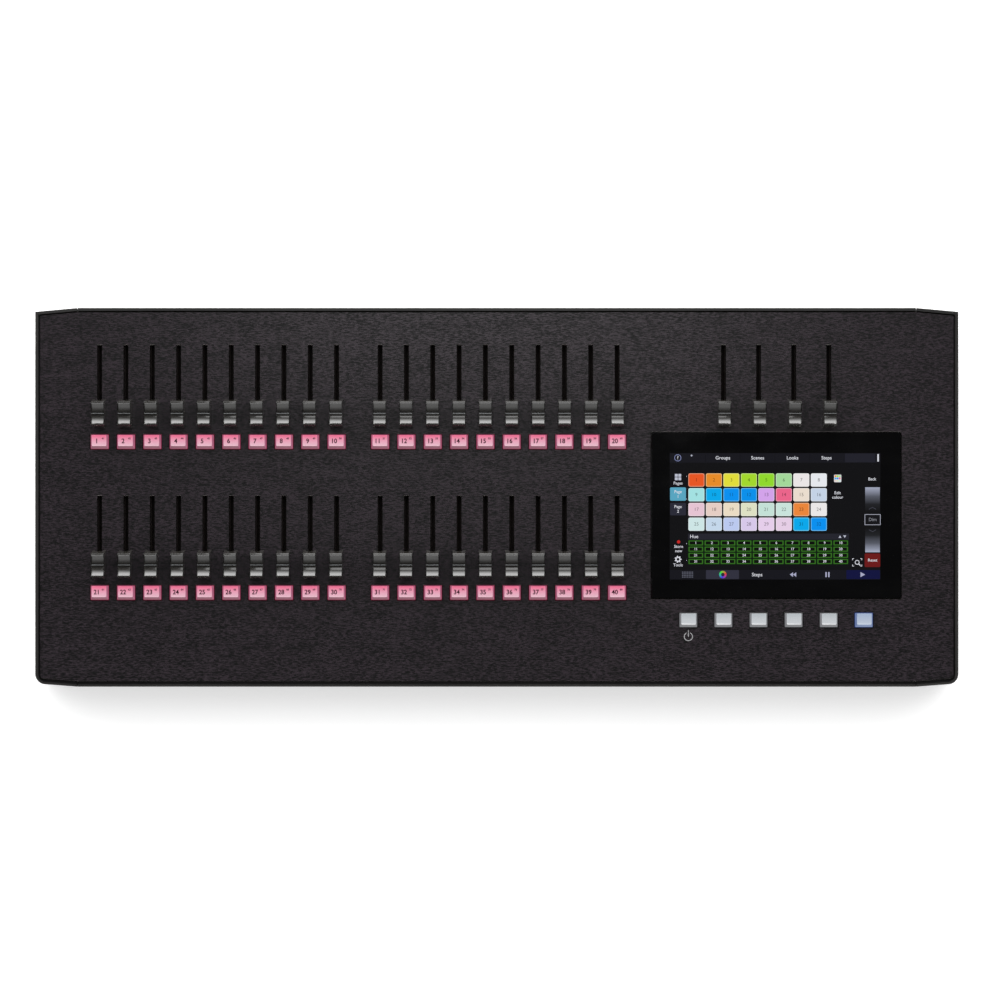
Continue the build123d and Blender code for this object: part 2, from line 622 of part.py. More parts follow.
# the insulating core, standing on the shell's floor, with a hole for each contact
with BuildPart() as outlet_cores:
    with BuildSketch(rear.offset(-OUTLET_RING_DEPTH)):
        with Locations(OUTLET_PLACES):
            Circle(OUTLET_CORE_RADIUS)
    extrude(amount=OUTLET_RING_DEPTH)
    with BuildSketch(rear):
        with Locations(OUTLET_PLACES):
            with PolarLocations(OUTLET_CONTACT_CIRCLE, OUTLET_CONTACTS, start_angle=-90):
                Circle(OUTLET_CONTACT_RADIUS)
    extrude(amount=-OUTLET_CONTACT_DEPTH, mode=Mode.SUBTRACT)
finish_group([outlet_shells, outlet_cores], "dmx_outlets")

# ---------------------------------------------------------------- network and USB sockets
with BuildPart() as data_ports:
    with BuildSketch(rear):
        with Locations((-NETWORK_X, NETWORK_Z)):
            Rectangle(NETWORK_BODY[0], NETWORK_BODY[1])
    extrude(amount=-NETWORK_BODY[2])
    with BuildSketch(rear):
        with Locations((-NETWORK_X, NETWORK_Z)):
            Rectangle(NETWORK_MOUTH[0], NETWORK_MOUTH[1])
    extrude(amount=-NETWORK_MOUTH[2], mode=Mode.SUBTRACT)
    with BuildSketch(rear):
        with Locations([(-x, USB_Z) for x in USB_XS]):
            Rectangle(USB_BODY[0], USB_BODY[1])
    extrude(amount=-USB_BODY[2])
    with BuildSketch(rear):
        with Locations([(-x, USB_Z) for x in USB_XS]):
            Rectangle(USB_MOUTH[0], USB_MOUTH[1])
    extrude(amount=-USB_MOUTH[2], mode=Mode.SUBTRACT)
    with BuildSketch(rear.offset(-USB_MOUTH[2])):
        with Locations([(-x, USB_Z + USB_TONGUE_RISE) for x in USB_XS]):
            Rectangle(*USB_TONGUE)
    extrude(amount=USB_MOUTH[2] - TIP_SET_BACK)
finish(data_ports, "data_ports")

# ---------------------------------------------------------------- power inlet
with BuildPart() as power_inlet:
    with BuildSketch(rear):
        with Locations((-POWER_X, POWER_Z)):
            Rectangle(POWER_BODY[0], POWER_BODY[1])
    extrude(amount=-POWER_BODY[2])
    with BuildSketch(rear):
        with Locations((-POWER_X, POWER_Z)):
            Circle(POWER_MOUTH_RADIUS)
    extrude(amount=-POWER_MOUTH_DEPTH, mode=Mode.SUBTRACT)
    with BuildSketch(rear.offset(-POWER_MOUTH_DEPTH)):
        with Locations((-POWER_X, POWER_Z)):
            Circle(POWER_PIN_RADIUS)
    extrude(amount=POWER_MOUTH_DEPTH - TIP_SET_BACK)
finish(power_inlet, "power_inlet")

# ---------------------------------------------------------------- rubber feet
with BuildPart() as rubber_feet:
    with BuildSketch(Plane.XY.offset(FOOT_HEIGHT)):
        with GridLocations(FOOT_SPREAD[0], FOOT_SPREAD[1], 2, 2):
            Circle(FOOT_RADIUS)
    extrude(amount=-FOOT_HEIGHT, taper=FOOT_TAPER)
finish(rubber_feet, "rubber_feet")

# ---------------------------------------------------------------- screws and nuts
with BuildPart() as fasteners:
    # pan heads with their shanks, for the boards under the deck
    with BuildSketch(on_deck(0, 0, BOARD_TOP_H - BOARD_THICK)):
        with Locations(BOARD_POSTS):
            Circle(SCREW_HEAD_RADIUS)
    extrude(amount=-SCREW_HEAD_HEIGHT)
    with BuildSketch(on_deck(0, 0, BOARD_TOP_H - BOARD_THICK)):
        with Locations(BOARD_POSTS):
            Circle(SCREW_RADIUS)
    extrude(amount=SCREW_LENGTH)
    # the main board's screws
    with BuildSketch(Plane.XY.offset(BOARD_LEVEL_Z)):
        with Locations(MAIN_POSTS):
            Circle(SCREW_HEAD_RADIUS)
    extrude(amount=SCREW_HEAD_HEIGHT)
    with BuildSketch(Plane.XY.offset(BOARD_LEVEL_Z)):
        with Locations(MAIN_POSTS):
            Circle(SCREW_RADIUS)
    extrude(amount=-SCREW_LENGTH)
    # the end caps' screws, turned in from inside the chassis
    for side in (-1, 1):
        with BuildSketch(Plane.YZ.offset(side * (SEAM_X - BULKHEAD))):
            with Locations(CAP_SCREWS):
                Circle(SCREW_HEAD_RADIUS)
        extrude(amount=-side * SCREW_HEAD_HEIGHT)
        with BuildSketch(Plane.YZ.offset(side * (SEAM_X - BULKHEAD))):
            with Locations(CAP_SCREWS):
                Circle(SCREW_RADIUS)
        extrude(amount=side * CAP_SCREW_LENGTH)
    # the outlets' countersunk screws
    head_depth = SCREW_HEAD_RADIUS - SCREW_RADIUS
    for x, z in OUTLET_SCREWS:
        with BuildSketch(Plane(origin=(x, REAR_Y, z), z_dir=(0, 1, 0))):
            Circle(SCREW_HEAD_RADIUS - SUNK_SCREW_CLEARANCE)
        extrude(amount=-head_depth, taper=45)
        with BuildSketch(Plane(origin=(x, REAR_Y, z), z_dir=(0, 1, 0))):
            Circle(SCREW_RADIUS - SUNK_SCREW_CLEARANCE)
        extrude(amount=-SCREW_LENGTH)
    # hexagon nuts on the deck's studs
    with BuildSketch(on_deck(0, 0, LEDGE_H - LEDGE_THICK)):
        with Locations(STUDS):
            RegularPolygon(NUT_ACROSS / 2, 6, major_radius=False)
            Circle(STUD_RADIUS + NUT_CLEARANCE, mode=Mode.SUBTRACT)
    extrude(amount=-NUT_THICK)
finish(fasteners, "fasteners")
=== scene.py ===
import json
import math
from collections import Counter

import bmesh
import bpy
from mathutils import Matrix, Vector


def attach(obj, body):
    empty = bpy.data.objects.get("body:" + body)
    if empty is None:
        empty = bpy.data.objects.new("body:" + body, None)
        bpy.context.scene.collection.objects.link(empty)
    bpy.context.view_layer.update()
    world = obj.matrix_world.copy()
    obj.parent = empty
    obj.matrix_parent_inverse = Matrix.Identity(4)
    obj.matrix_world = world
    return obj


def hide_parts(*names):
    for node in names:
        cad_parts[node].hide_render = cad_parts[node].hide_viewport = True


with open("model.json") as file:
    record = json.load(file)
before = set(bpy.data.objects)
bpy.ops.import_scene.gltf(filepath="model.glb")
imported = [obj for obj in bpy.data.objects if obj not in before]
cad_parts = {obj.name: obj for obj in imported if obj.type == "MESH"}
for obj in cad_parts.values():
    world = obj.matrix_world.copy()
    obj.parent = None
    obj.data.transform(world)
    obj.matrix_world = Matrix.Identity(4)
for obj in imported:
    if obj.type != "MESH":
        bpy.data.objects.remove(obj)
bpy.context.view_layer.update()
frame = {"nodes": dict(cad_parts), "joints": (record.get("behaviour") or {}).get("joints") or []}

MM = 0.001

# ------------------------------------------------------------------ the deck's own axes
joint_axis = {j["name"]: Vector(j["axis"]) for j in frame["joints"]}
RIGHT = Vector((1, 0, 0))
UP_SLOPE = joint_axis["fader_01_slide"].normalized()
NORMAL = -joint_axis["channel_keys_press"].normalized()
RIM_PROUD = 0.4 * MM


def node_points(name):
    return [v.co for v in frame["nodes"][name].data.vertices]


DECK_LEVEL = max(p.dot(NORMAL) for p in node_points("top_panel"))
RIM_CENTRE = Vector((0, 0, (DECK_LEVEL + RIM_PROUD) / NORMAL.z))
DECK_ORIGIN = RIM_CENTRE - NORMAL * RIM_PROUD
AXES = Matrix((RIGHT, UP_SLOPE, NORMAL)).transposed()


def on_deck(x, y, h=0.0):
    """The world matrix of a piece standing on the deck at x, y and height h, in metres."""
    point = DECK_ORIGIN + RIGHT * x + UP_SLOPE * y + NORMAL * h
    return Matrix.Translation(point) @ AXES.to_4x4()


def deck_box(name):
    """(lowest, highest) deck coordinates of a CAD node."""
    local = [AXES.transposed() @ (p - DECK_ORIGIN) for p in node_points(name)]
    low = Vector([min(p[i] for p in local) for i in range(3)])
    high = Vector([max(p[i] for p in local) for i in range(3)])
    return low, high


def new_object(name, data):
    """An object in the scene for a mesh, a curve, a lamp or a camera."""
    made = bpy.data.objects.new(name, data)
    bpy.context.scene.collection.objects.link(made)
    return made


# ------------------------------------------------------------------ camera
VIEW_X, VIEW_Y = 2.3 * MM, -1.9 * MM       # where the camera's axis meets the deck
VIEW_DISTANCE = 1.9
VIEW_WIDTH = 0.7235                        # what the frame covers on the deck
SENSOR = 36.0
camera_data = bpy.data.cameras.new("camera")
camera_data.sensor_width = SENSOR
camera_data.lens = SENSOR * VIEW_DISTANCE / VIEW_WIDTH
camera_data.clip_end = 20.0
camera = new_object("camera", camera_data)
camera.matrix_world = on_deck(VIEW_X, VIEW_Y, VIEW_DISTANCE)
bpy.context.scene.camera = camera
bpy.context.scene.view_settings.view_transform = "Standard"


# ------------------------------------------------------------------ materials
def add_node(tree, kind, inputs=(), **settings):
    """A new shader node; inputs are sockets to link from, or plain values."""
    made = tree.nodes.new(kind)
    for key, value in settings.items():
        setattr(made, key, value)
    for key, value in dict(inputs).items():
        if isinstance(value, bpy.types.NodeSocket):
            tree.links.new(value, made.inputs[key])
        else:
            made.inputs[key].default_value = value
    return made


def linear(red, green, blue):
    """A linear colour from an sRGB one given as 0 to 255."""
    channels = []
    for value in (red, green, blue):
        value /= 255
        channels.append(value / 12.92 if value <= 0.04045 else ((value + 0.055) / 1.055) ** 2.4)
    return (*channels, 1.0)


class Material:
    """A Principled material with short ways to add noise, ramps and bump."""

    def __init__(self, name, **values):
        self.material = bpy.data.materials.new(name)
        self.material.use_nodes = True
        self.tree = self.material.node_tree
        self.shader = self.tree.nodes["Principled BSDF"]
        self.set(**values)

    def set(self, **values):
        """Constants of the shader, their names written with _ for each space."""
        for key, value in values.items():
            self.shader.inputs[key.replace("_", " ")].default_value = value

    def node(self, kind, inputs=(), **settings):
        return add_node(self.tree, kind, inputs, **settings)

    def coords(self, scale=(1, 1, 1), output="Object"):
        source = self.node("ShaderNodeTexCoord")
        mapping = self.node("ShaderNodeMapping", {"Vector": source.outputs[output], "Scale": scale})
        return mapping.outputs["Vector"]

    def noise(self, scale, detail=3.0, stretch=(1, 1, 1), rough=0.5):
        made = self.node(
            "ShaderNodeTexNoise",
            {"Vector": self.coords(stretch), "Scale": scale, "Detail": detail, "Roughness": rough},
        )
        return made.outputs["Fac"]

    def ramp(self, factor, *stops):
        """Colour stops as (position, colour)."""
        made = self.node("ShaderNodeValToRGB", {"Fac": factor})
        points = made.color_ramp.elements
        while len(points) < len(stops):
            points.new(0.5)
        for point, (position, colour) in zip(points, stops):
            point.position = position
            point.color = colour
        return made.outputs["Color"]

    def spread(self, factor, low, high, start=0.3, end=0.7):
        """factor from start to end becomes a number from low to high."""
        made = self.node(
            "ShaderNodeMapRange",
            {"Value": factor, "From Min": start, "From Max": end, "To Min": low, "To Max": high},
        )
        return made.outputs["Result"]

    def plug(self, name, value):
        self.tree.links.new(value, self.shader.inputs[name])

    def bump(self, height, distance, strength):
        inputs = {"Height": height, "Distance": distance, "Strength": strength}
        self.plug("Normal", self.node("ShaderNodeBump", inputs).outputs["Normal"])


CLOUD_SHARE = 0.2                          # of the broad clouds, beside the fine streaks
CLOUD_LENGTH, CLOUD_WIDTH = 7, 16          # how many streaks long and wide a cloud is


def brushed(name, dark, light, rough, metal, grain=(150, 1150), detail=3.0, relief=0.03 * MM,
            reach=0.25):
    """Metal brushed along X: streaks a few millimetres long and half a millimetre wide or less.

    grain is the noise scale along and across the streaks, and reach how far the noise lies from
    its middle where the colour becomes fully dark or light.
    """
    made = Material(name, Metallic=metal)
    along, across = grain
    cloud_across = across / CLOUD_WIDTH
    streaks = made.noise(1.0, detail, (along, across, across), 0.6)
    clouds = made.noise(1.0, 3.0, (along / CLOUD_LENGTH, cloud_across, cloud_across), 0.6)
    weighted = made.node("ShaderNodeMath", {0: clouds, 1: CLOUD_SHARE, 2: streaks},
                         operation="MULTIPLY_ADD").outputs[0]
    centre = (1 + CLOUD_SHARE) / 2
    factor = made.spread(weighted, 0.0, 1.0, centre - reach, centre + reach)
    middle = [(a + b) / 2 * 0.85 for a, b in zip(dark[:3], light[:3])] + [1.0]
    made.plug("Base Color", made.ramp(factor, (0.12, dark), (0.52, middle), (0.95, light)))
    made.plug("Roughness", made.spread(factor, rough + 0.08, rough - 0.08, 0.0, 1.0))
    made.bump(streaks, relief, 0.6)
    return made


def facing(made, direction, *stops):
    """A ramp over how squarely the true surface faces a direction."""
    normal = made.node("ShaderNodeNewGeometry").outputs["True Normal"]
    cosine = made.node("ShaderNodeVectorMath", {0: normal, 1: tuple(direction)},
                       operation="DOT_PRODUCT")
    return made.ramp(cosine.outputs["Value"], *stops)


def worn_edges(made, front_glint, darker_tone):
    """Metal on the small bevels of the deck's edges, with a painted glint where a bevel faces the
    front and painted shade on the others.
    """
    black, white = (0, 0, 0, 1), (1, 1, 1, 1)
    bevel = facing(made, NORMAL, (0.45, black), (0.6, white), (0.85, white), (0.95, black))
    # painted glint where a bevel faces the front, painted shade where it faces elsewhere
    metal = facing(made, -UP_SLOPE, (0.3, darker_tone), (0.6, front_glint))
    finish = made.shader.inputs["Base Color"].links[0].from_socket
    mixed = made.node("ShaderNodeMixRGB", {"Fac": bevel, "Color1": finish, "Color2": metal})
    made.plug("Base Color", mixed.outputs["Color"])
    made.plug("Metallic", bevel)


def shaded(colour, share):
    """The colour made darker, or lighter with a share over 1."""
    return (*(value * share for value in colour[:3]), 1.0)


def coated(name, colour, rough):
    """Fine-textured powder coat, a little rubbed on its broad areas."""
    made = Material(name)
    grain = made.noise(1600.0, 3.0)
    patches = made.noise(9.0, 4.0)
    made.plug("Base Color", made.ramp(patches, (0.35, shaded(colour, 0.8)),
                                      (0.65, shaded(colour, 1.25))))
    made.plug("Roughness", made.spread(patches, rough - 0.06, rough + 0.08))
    made.bump(grain, 0.04 * MM, 0.6)
    return made


def moulded(name, colour, rough, scale=220.0, depth=0.01 * MM):
    """Moulded plastic or rubber with a faint surface ripple and handled patches."""
    made = Material(name)
    handled = made.noise(60.0, 4.0)
    made.plug("Base Color", made.ramp(handled, (0.35, shaded(colour, 0.85)), (0.7, colour)))
    made.plug("Roughness", made.spread(handled, rough * 0.8, rough * 1.3))
    made.bump(made.noise(scale, 2.0), depth, 0.5)
    return made


deck_black = brushed("deck_black", (0.0004, 0.0003, 0.0005, 1), (0.036, 0.028, 0.034, 1), 0.33, 0.0,
                     grain=(320, 1900), detail=1.0, relief=0.08 * MM, reach=0.09)
deck_black.set(Specular_IOR_Level=0.4)
# a painted glint on the deck's bevels that face the front, painted shade on its other bevels
worn_edges(deck_black, front_glint=(0.20, 0.19, 0.18, 1), darker_tone=(0.008, 0.007, 0.006, 1))
case_black = coated("case_black", (0.014, 0.013, 0.012, 1), 0.5)
housing_black = moulded("housing_black", (0.026, 0.020, 0.018, 1), 0.7)
housing_black.set(Specular_IOR_Level=0.15)
steel = brushed("bare_steel", (0.42, 0.42, 0.43, 1), (0.62, 0.62, 0.62, 1), 0.32, 1.0, (90, 700))
dark_steel = brushed("dark_steel", (0.05, 0.05, 0.05, 1), (0.10, 0.10, 0.10, 1), 0.38, 1.0,
                     (90, 700))
plated = brushed("plated_metal", (0.55, 0.54, 0.52, 1), (0.75, 0.74, 0.72, 1), 0.22, 1.0,
                 (120, 900))
board_green = moulded("solder_mask", (0.012, 0.075, 0.035, 1), 0.35)
socket_black = moulded("socket_black", (0.02, 0.02, 0.021, 1), 0.35)
rubber = moulded("foot_rubber", (0.018, 0.018, 0.018, 1), 0.7, 900.0, 0.04 * MM)
cap_black = moulded("cap_gloss", (0.030, 0.028, 0.025, 1), 0.15, 160.0, 0.006 * MM)
cap_black.set(Specular_IOR_Level=0.7, Coat_Weight=1.0, Coat_Roughness=0.06)
line_white = moulded("index_line", (0.30, 0.31, 0.32, 1), 0.4)
key_ink = moulded("key_ink", (0.045, 0.004, 0.014, 1), 0.5)
key_ink.set(Specular_IOR_Level=0.1)
print_grey = moulded("deck_print", (0.42, 0.42, 0.43, 1), 0.5)

glass_black = Material("glass_black", Roughness=0.06, IOR=1.5, Coat_Weight=0.5)
smudge = glass_black.noise(26.0, 5.0, (1, 1.6, 1), 0.6)
glass_black.plug("Base Color", glass_black.ramp(smudge, (0.4, (0.0012, 0.0012, 0.0014, 1)),
                                                (0.75, (0.0022, 0.0022, 0.0024, 1))))
glass_black.plug("Roughness", glass_black.spread(smudge, 0.05, 0.14))


def paint(node, made):
    """Give a CAD node this material all over."""
    slots = frame["nodes"][node].data.materials
    slots.clear()
    slots.append(made.material)


CAD_LOOKS = {
    "top_panel": deck_black, "chassis": case_black, "left_end_cap": case_black,
    "right_end_cap": case_black, "touch_glass": glass_black, "display_module": steel,
    "fader_housings": housing_black, "control_boards": board_green, "main_board": board_green,
    "dmx_outlets": socket_black, "data_ports": plated, "power_inlet": socket_black,
    "rubber_feet": rubber, "fasteners": dark_steel,
}
for node, made in CAD_LOOKS.items():
    paint(node, made)


# ------------------------------------------------------------------ mesh helpers
def new_piece(name, mesh, made, body, matrix):
    """A visible piece; the mesh gets the material unless it already has its own."""
    piece = new_object(name, mesh)
    piece.matrix_world = matrix
    if not mesh.materials:
        mesh.materials.append(made.material)
    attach(piece, body)
    return piece


def smooth(mesh, sharp_angle):
    """Smooth shading, except over edges sharper than this many degrees."""
    for polygon in mesh.polygons:
        polygon.use_smooth = True
    mesh.set_sharp_from_angle(angle=math.radians(sharp_angle))


def mesh_from(bm, name, smooth_angle=None):
    """The bmesh as a mesh, with its normals outward; the bmesh is freed."""
    bmesh.ops.recalc_face_normals(bm, faces=bm.faces)
    mesh = bpy.data.meshes.new(name)
    bm.to_mesh(mesh)
    bm.free()
    if smooth_angle is not None:
        smooth(mesh, smooth_angle)
    return mesh


def rounded_outline(width, depth, radius, steps=5):
    """Corner points of a rounded rectangle about the origin, in order."""
    points = []
    for corner, (sx, sy) in enumerate(((1, 1), (-1, 1), (-1, -1), (1, -1))):
        for step in range(steps + 1):
            angle = math.radians(90 * (corner + step / steps))
            points.append((
                sx * (width / 2 - radius) + radius * math.cos(angle),
                sy * (depth / 2 - radius) + radius * math.sin(angle),
            ))
    return points


def join_loops(bm, one, other):
    """A strip of faces between two closed loops with the same number of points."""
    for i in range(len(one)):
        j = (i + 1) % len(one)
        bm.faces.new((one[i], one[j], other[j], other[i]))


def add_prism(bm, points, low, high):
    """A closed prism over the outline points from height low to high; returns its top face."""
    bottom = [bm.verts.new((x, y, low)) for x, y in points]
    top = [bm.verts.new((x, y, high)) for x, y in points]
    bm.faces.new(bottom[::-1])
    face = bm.faces.new(top)
    join_loops(bm, bottom, top)
    return face


def add_band(bm, outer, inner, low, high):
    """A closed band between two outlines with the same number of points."""
    loops = [
        [bm.verts.new((x, y, h)) for x, y in outline]
        for outline, h in ((outer, low), (outer, high), (inner, high), (inner, low))
    ]
    for one, other in zip(loops, loops[1:] + loops[:1]):
        join_loops(bm, one, other)


def moved(points, x, y):
    return [(px + x, py + y) for px, py in points]


def apply_modifiers(obj):
    """The mesh the object comes to, with its modifiers applied; the object itself is removed."""
    depsgraph = bpy.context.evaluated_depsgraph_get()
    mesh = bpy.data.meshes.new_from_object(obj.evaluated_get(depsgraph))
    bpy.data.objects.remove(obj)
    return mesh


def text_mesh(words, size, bold):
    """A flat mesh of the words about their own middle, in a font of size metres."""
    curve = bpy.data.curves.new("words", "FONT")
    curve.body = words
    curve.size = size
    curve.offset = bold
    curve.align_x = curve.align_y = "CENTER"
    curve.resolution_u = 3
    mesh = apply_modifiers(new_object("scratch", curve))
    bpy.data.curves.remove(curve)
    return mesh


def add_text(bm, words, size, x, y, h, thick=0.02 * MM, narrow=1.0, bold=0.0):
    """Lettering as thin raised print in the bmesh: the flat letters, a copy above and the sides."""
    mesh = text_mesh(words, size, bold)
    low, high = [[bm.verts.new((v.co.x * narrow + x, v.co.y + y, level)) for v in mesh.vertices]
                 for level in (h, h + thick)]
    uses = Counter(key for polygon in mesh.polygons for key in polygon.edge_keys)
    for polygon in mesh.polygons:
        ring = list(polygon.vertices)
        faces = [bm.faces.new([low[i] for i in ring[::-1]]), bm.faces.new([high[i] for i in ring])]
        for i, j in zip(ring, ring[1:] + ring[:1]):
            if uses[min(i, j), max(i, j)] == 1:
                faces.append(bm.faces.new((low[i], low[j], high[j], high[i])))
        for face in faces:
            face.smooth = polygon.use_smooth
    bpy.data.meshes.remove(mesh)


# ------------------------------------------------------------------ fader caps
# Along a cap y runs to the rear. Its ends slope in from CAP_LENGTH at the foot to CAP_TOP_LENGTH,
# and its upper face is an arc that dips by CAP_DIP in the middle.
cap_low, cap_high = deck_box("fader_01")
CAP_LENGTH = cap_high.y - cap_low.y
CAP_WIDTH = cap_high.x - cap_low.x
CAP_TOP = cap_high.z
CAP_FOOT = 1.0 * MM
CAP_TOP_LENGTH = 16.3 * MM
CAP_DIP = 3.9 * MM
CAP_DRAFT = 0.35 * MM
CAP_ROUND = 0.45 * MM
FRONT_ROUND, REAR_ROUND = 0.6 * MM, 1.2 * MM
ARCH_RADIUS = 3.1 * MM
ARCH_SPRING = 1.6 * MM
LINE_WIDTH = 0.6 * MM
REAR_GROOVE, FRONT_GROOVE = 0.7 * MM, 1.6 * MM
GROOVE_DEPTH = 0.5 * MM
LINE_PROUD = 0.14 * MM                     # how far the index line stands above the dip
LINE_HEIGHT = 0.5 * MM
LEVER_SIZE = (1.2 * MM, 7.0 * MM)
LEVER_UNDER_TOP = 6.0 * MM
CARRIAGE_SIZE = (6.6 * MM, 9.0 * MM)
CARRIAGE_HEIGHT = 4.2 * MM


def dip_height(y):
    """Height of the cap's upper face at y along it: an arc through both ends and the dip."""
    half = CAP_TOP_LENGTH / 2
    radius = (half * half + CAP_DIP * CAP_DIP) / (2 * CAP_DIP)
    return CAP_TOP - CAP_DIP + radius - math.sqrt(radius * radius - y * y)


def rounded_end(end, reach, steps=7):
    """Points round the cap's upper corner at one end (1 or -1), from its end face into the dip.

    The curve starts the distance reach down the end face.
    """
    slope = Vector((end * (CAP_LENGTH - CAP_TOP_LENGTH) / 2, CAP_FOOT - CAP_TOP)).normalized()
    corner = Vector((end * CAP_TOP_LENGTH / 2, CAP_TOP))
    inside = corner.x - end * reach * 0.7
    start, finish = corner + slope * reach, Vector((inside, dip_height(inside)))
    points = []
    for step in range(steps + 1):
        t = step / steps
        points.append(tuple(start * (1 - t) ** 2 + corner * 2 * t * (1 - t) + finish * t * t))
    return points


def make_cap_body(steps=28):
    """The closed cap: sloping ends, finger dip, leaning sides and soft edges."""
    foot = CAP_LENGTH / 2
    front, rear = rounded_end(-1, FRONT_ROUND), rounded_end(1, REAR_ROUND)
    first, last = front[-1][0], rear[-1][0]
    profile = [(-foot, CAP_FOOT)] + front
    for step in range(1, steps):
        y = first + (last - first) * step / steps
        profile.append((y, dip_height(y)))
    profile += rear[::-1] + [(foot, CAP_FOOT)]
    bm = bmesh.new()
    sides = []
    for side in (-1, 1):
        ring = []
        for y, h in profile:
            lean = CAP_DRAFT * (h - CAP_FOOT) / (CAP_TOP - CAP_FOOT)
            ring.append(bm.verts.new((side * (CAP_WIDTH / 2 - lean), y, h)))
        sides.append(ring)
    bm.faces.new(sides[0])
    bm.faces.new(sides[1][::-1])
    join_loops(bm, *sides)
    bmesh.ops.recalc_face_normals(bm, faces=bm.faces)
    soft = []
    for edge in bm.edges:
        at_foot = max(v.co.z for v in edge.verts) <= CAP_FOOT + 0.1 * MM
        if not at_foot and edge.calc_face_angle(0) > math.radians(25):
            soft.append(edge)
    bmesh.ops.bevel(bm, geom=soft, offset=CAP_ROUND, segments=4, profile=0.6, affect="EDGES")
    return mesh_from(bm, "cap")


def make_cap_cutter(steps=16):
    """What is cut from the cap: the arch along its skirt and a groove each side of the line."""
    bm = bmesh.new()
    arch = [(-ARCH_RADIUS, -MM)]
    for step in range(steps + 1):
        angle = math.pi - math.pi * step / steps
        arch.append((ARCH_RADIUS * math.cos(angle), ARCH_SPRING + ARCH_RADIUS * math.sin(angle)))
    arch.append((ARCH_RADIUS, -MM))
    front = [bm.verts.new((x, -CAP_LENGTH, h)) for x, h in arch]
    back = [bm.verts.new((x, CAP_LENGTH, h)) for x, h in arch]
    bm.faces.new(front)
    bm.faces.new(back[::-1])
    join_loops(bm, front, back)
    bottom = CAP_TOP - CAP_DIP - GROOVE_DEPTH
    for side, width in ((-1, FRONT_GROOVE), (1, REAR_GROOVE)):
        middle = side * (LINE_WIDTH + width) / 2
        outline = moved(rounded_outline(2 * CAP_WIDTH, width, 0.05 * MM, 2), 0, middle)
        add_prism(bm, outline, bottom, bottom + 5 * MM)
    return mesh_from(bm, "cutter")


def make_cap_mesh():
    """The glossy cap with its arched skirt and the two grooves."""
    cap = new_object("scratch", make_cap_body())
    tool = new_object("scratch", make_cap_cutter())
    cut = cap.modifiers.new("cut", "BOOLEAN")
    cut.operation = "DIFFERENCE"
    cut.solver = "EXACT"
    cut.object = tool
    mesh = apply_modifiers(cap)
    bpy.data.objects.remove(tool)
    mesh.name = "fader_cap"
    smooth(mesh, 32)
    return mesh


def make_line_mesh():
    """The pale index line: a slim bar with rounded edges, lying across the dip."""
    bm = bmesh.new()
    outline = rounded_outline(CAP_WIDTH - 2 * CAP_DRAFT, LINE_WIDTH * 0.86, 0.2 * MM, 4)
    top = CAP_TOP - CAP_DIP + LINE_PROUD
    face = add_prism(bm, outline, top - LINE_HEIGHT, top)
    bmesh.ops.bevel(bm, geom=list(face.edges), offset=0.1 * MM, segments=2, affect="EDGES")
    return mesh_from(bm, "index_line", 40)


def make_lever_mesh():
    """The stamped lever that comes up through the slot, with its carriage below."""
    bm = bmesh.new()
    low, waist = cap_low.z, cap_low.z + CARRIAGE_HEIGHT
    lever = rounded_outline(*LEVER_SIZE, 0.3 * MM, 3)
    add_prism(bm, lever, waist, CAP_TOP - LEVER_UNDER_TOP)
    carriage = rounded_outline(*CARRIAGE_SIZE, 0.6 * MM, 3)
    add_prism(bm, carriage, low, waist)
    return mesh_from(bm, "lever", 40)


cap_mesh = make_cap_mesh()
line_mesh = make_line_mesh()
lever_mesh = make_lever_mesh()
CHANNELS, MASTERS = 40, 4
fader_names = [f"fader_{i:02d}" for i in range(1, CHANNELS + 1)]
master_names = [f"master_fader_{i}" for i in range(1, MASTERS + 1)]
fader_places = {}
for name in fader_names + master_names:
    low, high = deck_box(name)
    x, y = (low.x + high.x) / 2, (low.y + high.y) / 2
    fader_places[name] = (x, y)
    stand = on_deck(x, y)
    cap = new_piece(f"{name}_cap", cap_mesh, cap_black, name, stand)
    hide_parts(name)
    new_piece(f"{name}_line", line_mesh, line_white, name, stand)
    new_piece(f"{name}_lever", lever_mesh, steel, name, stand)

# ------------------------------------------------------------------ lit keys
KEY_BELOW_FADER = 20.3 * MM
KEY_TOP = deck_box("channel_keys")[1].z
KEY_SIZE = (12.5 * MM, 10.0 * MM)
KEY_TOP_SIZE = (10.6 * MM, 7.9 * MM)
KEY_TOP_SHIFT = 0.85 * MM                  # the top lies nearer the rear, over a long front slope
KEY_SHOULDER = 0.2 * MM
KEY_MIDDLE = (KEY_SHOULDER + KEY_TOP) / 2
KEY_ROOT = -5.0 * MM
PRINT_H = KEY_TOP - 0.03 * MM
OPENING = (13.2 * MM, 10.6 * MM)
GUIDE_INSIDE = (12.6 * MM, 10.1 * MM)
GUIDE_TOP = -1.2 * MM
GUIDE_THICK = 0.6 * MM


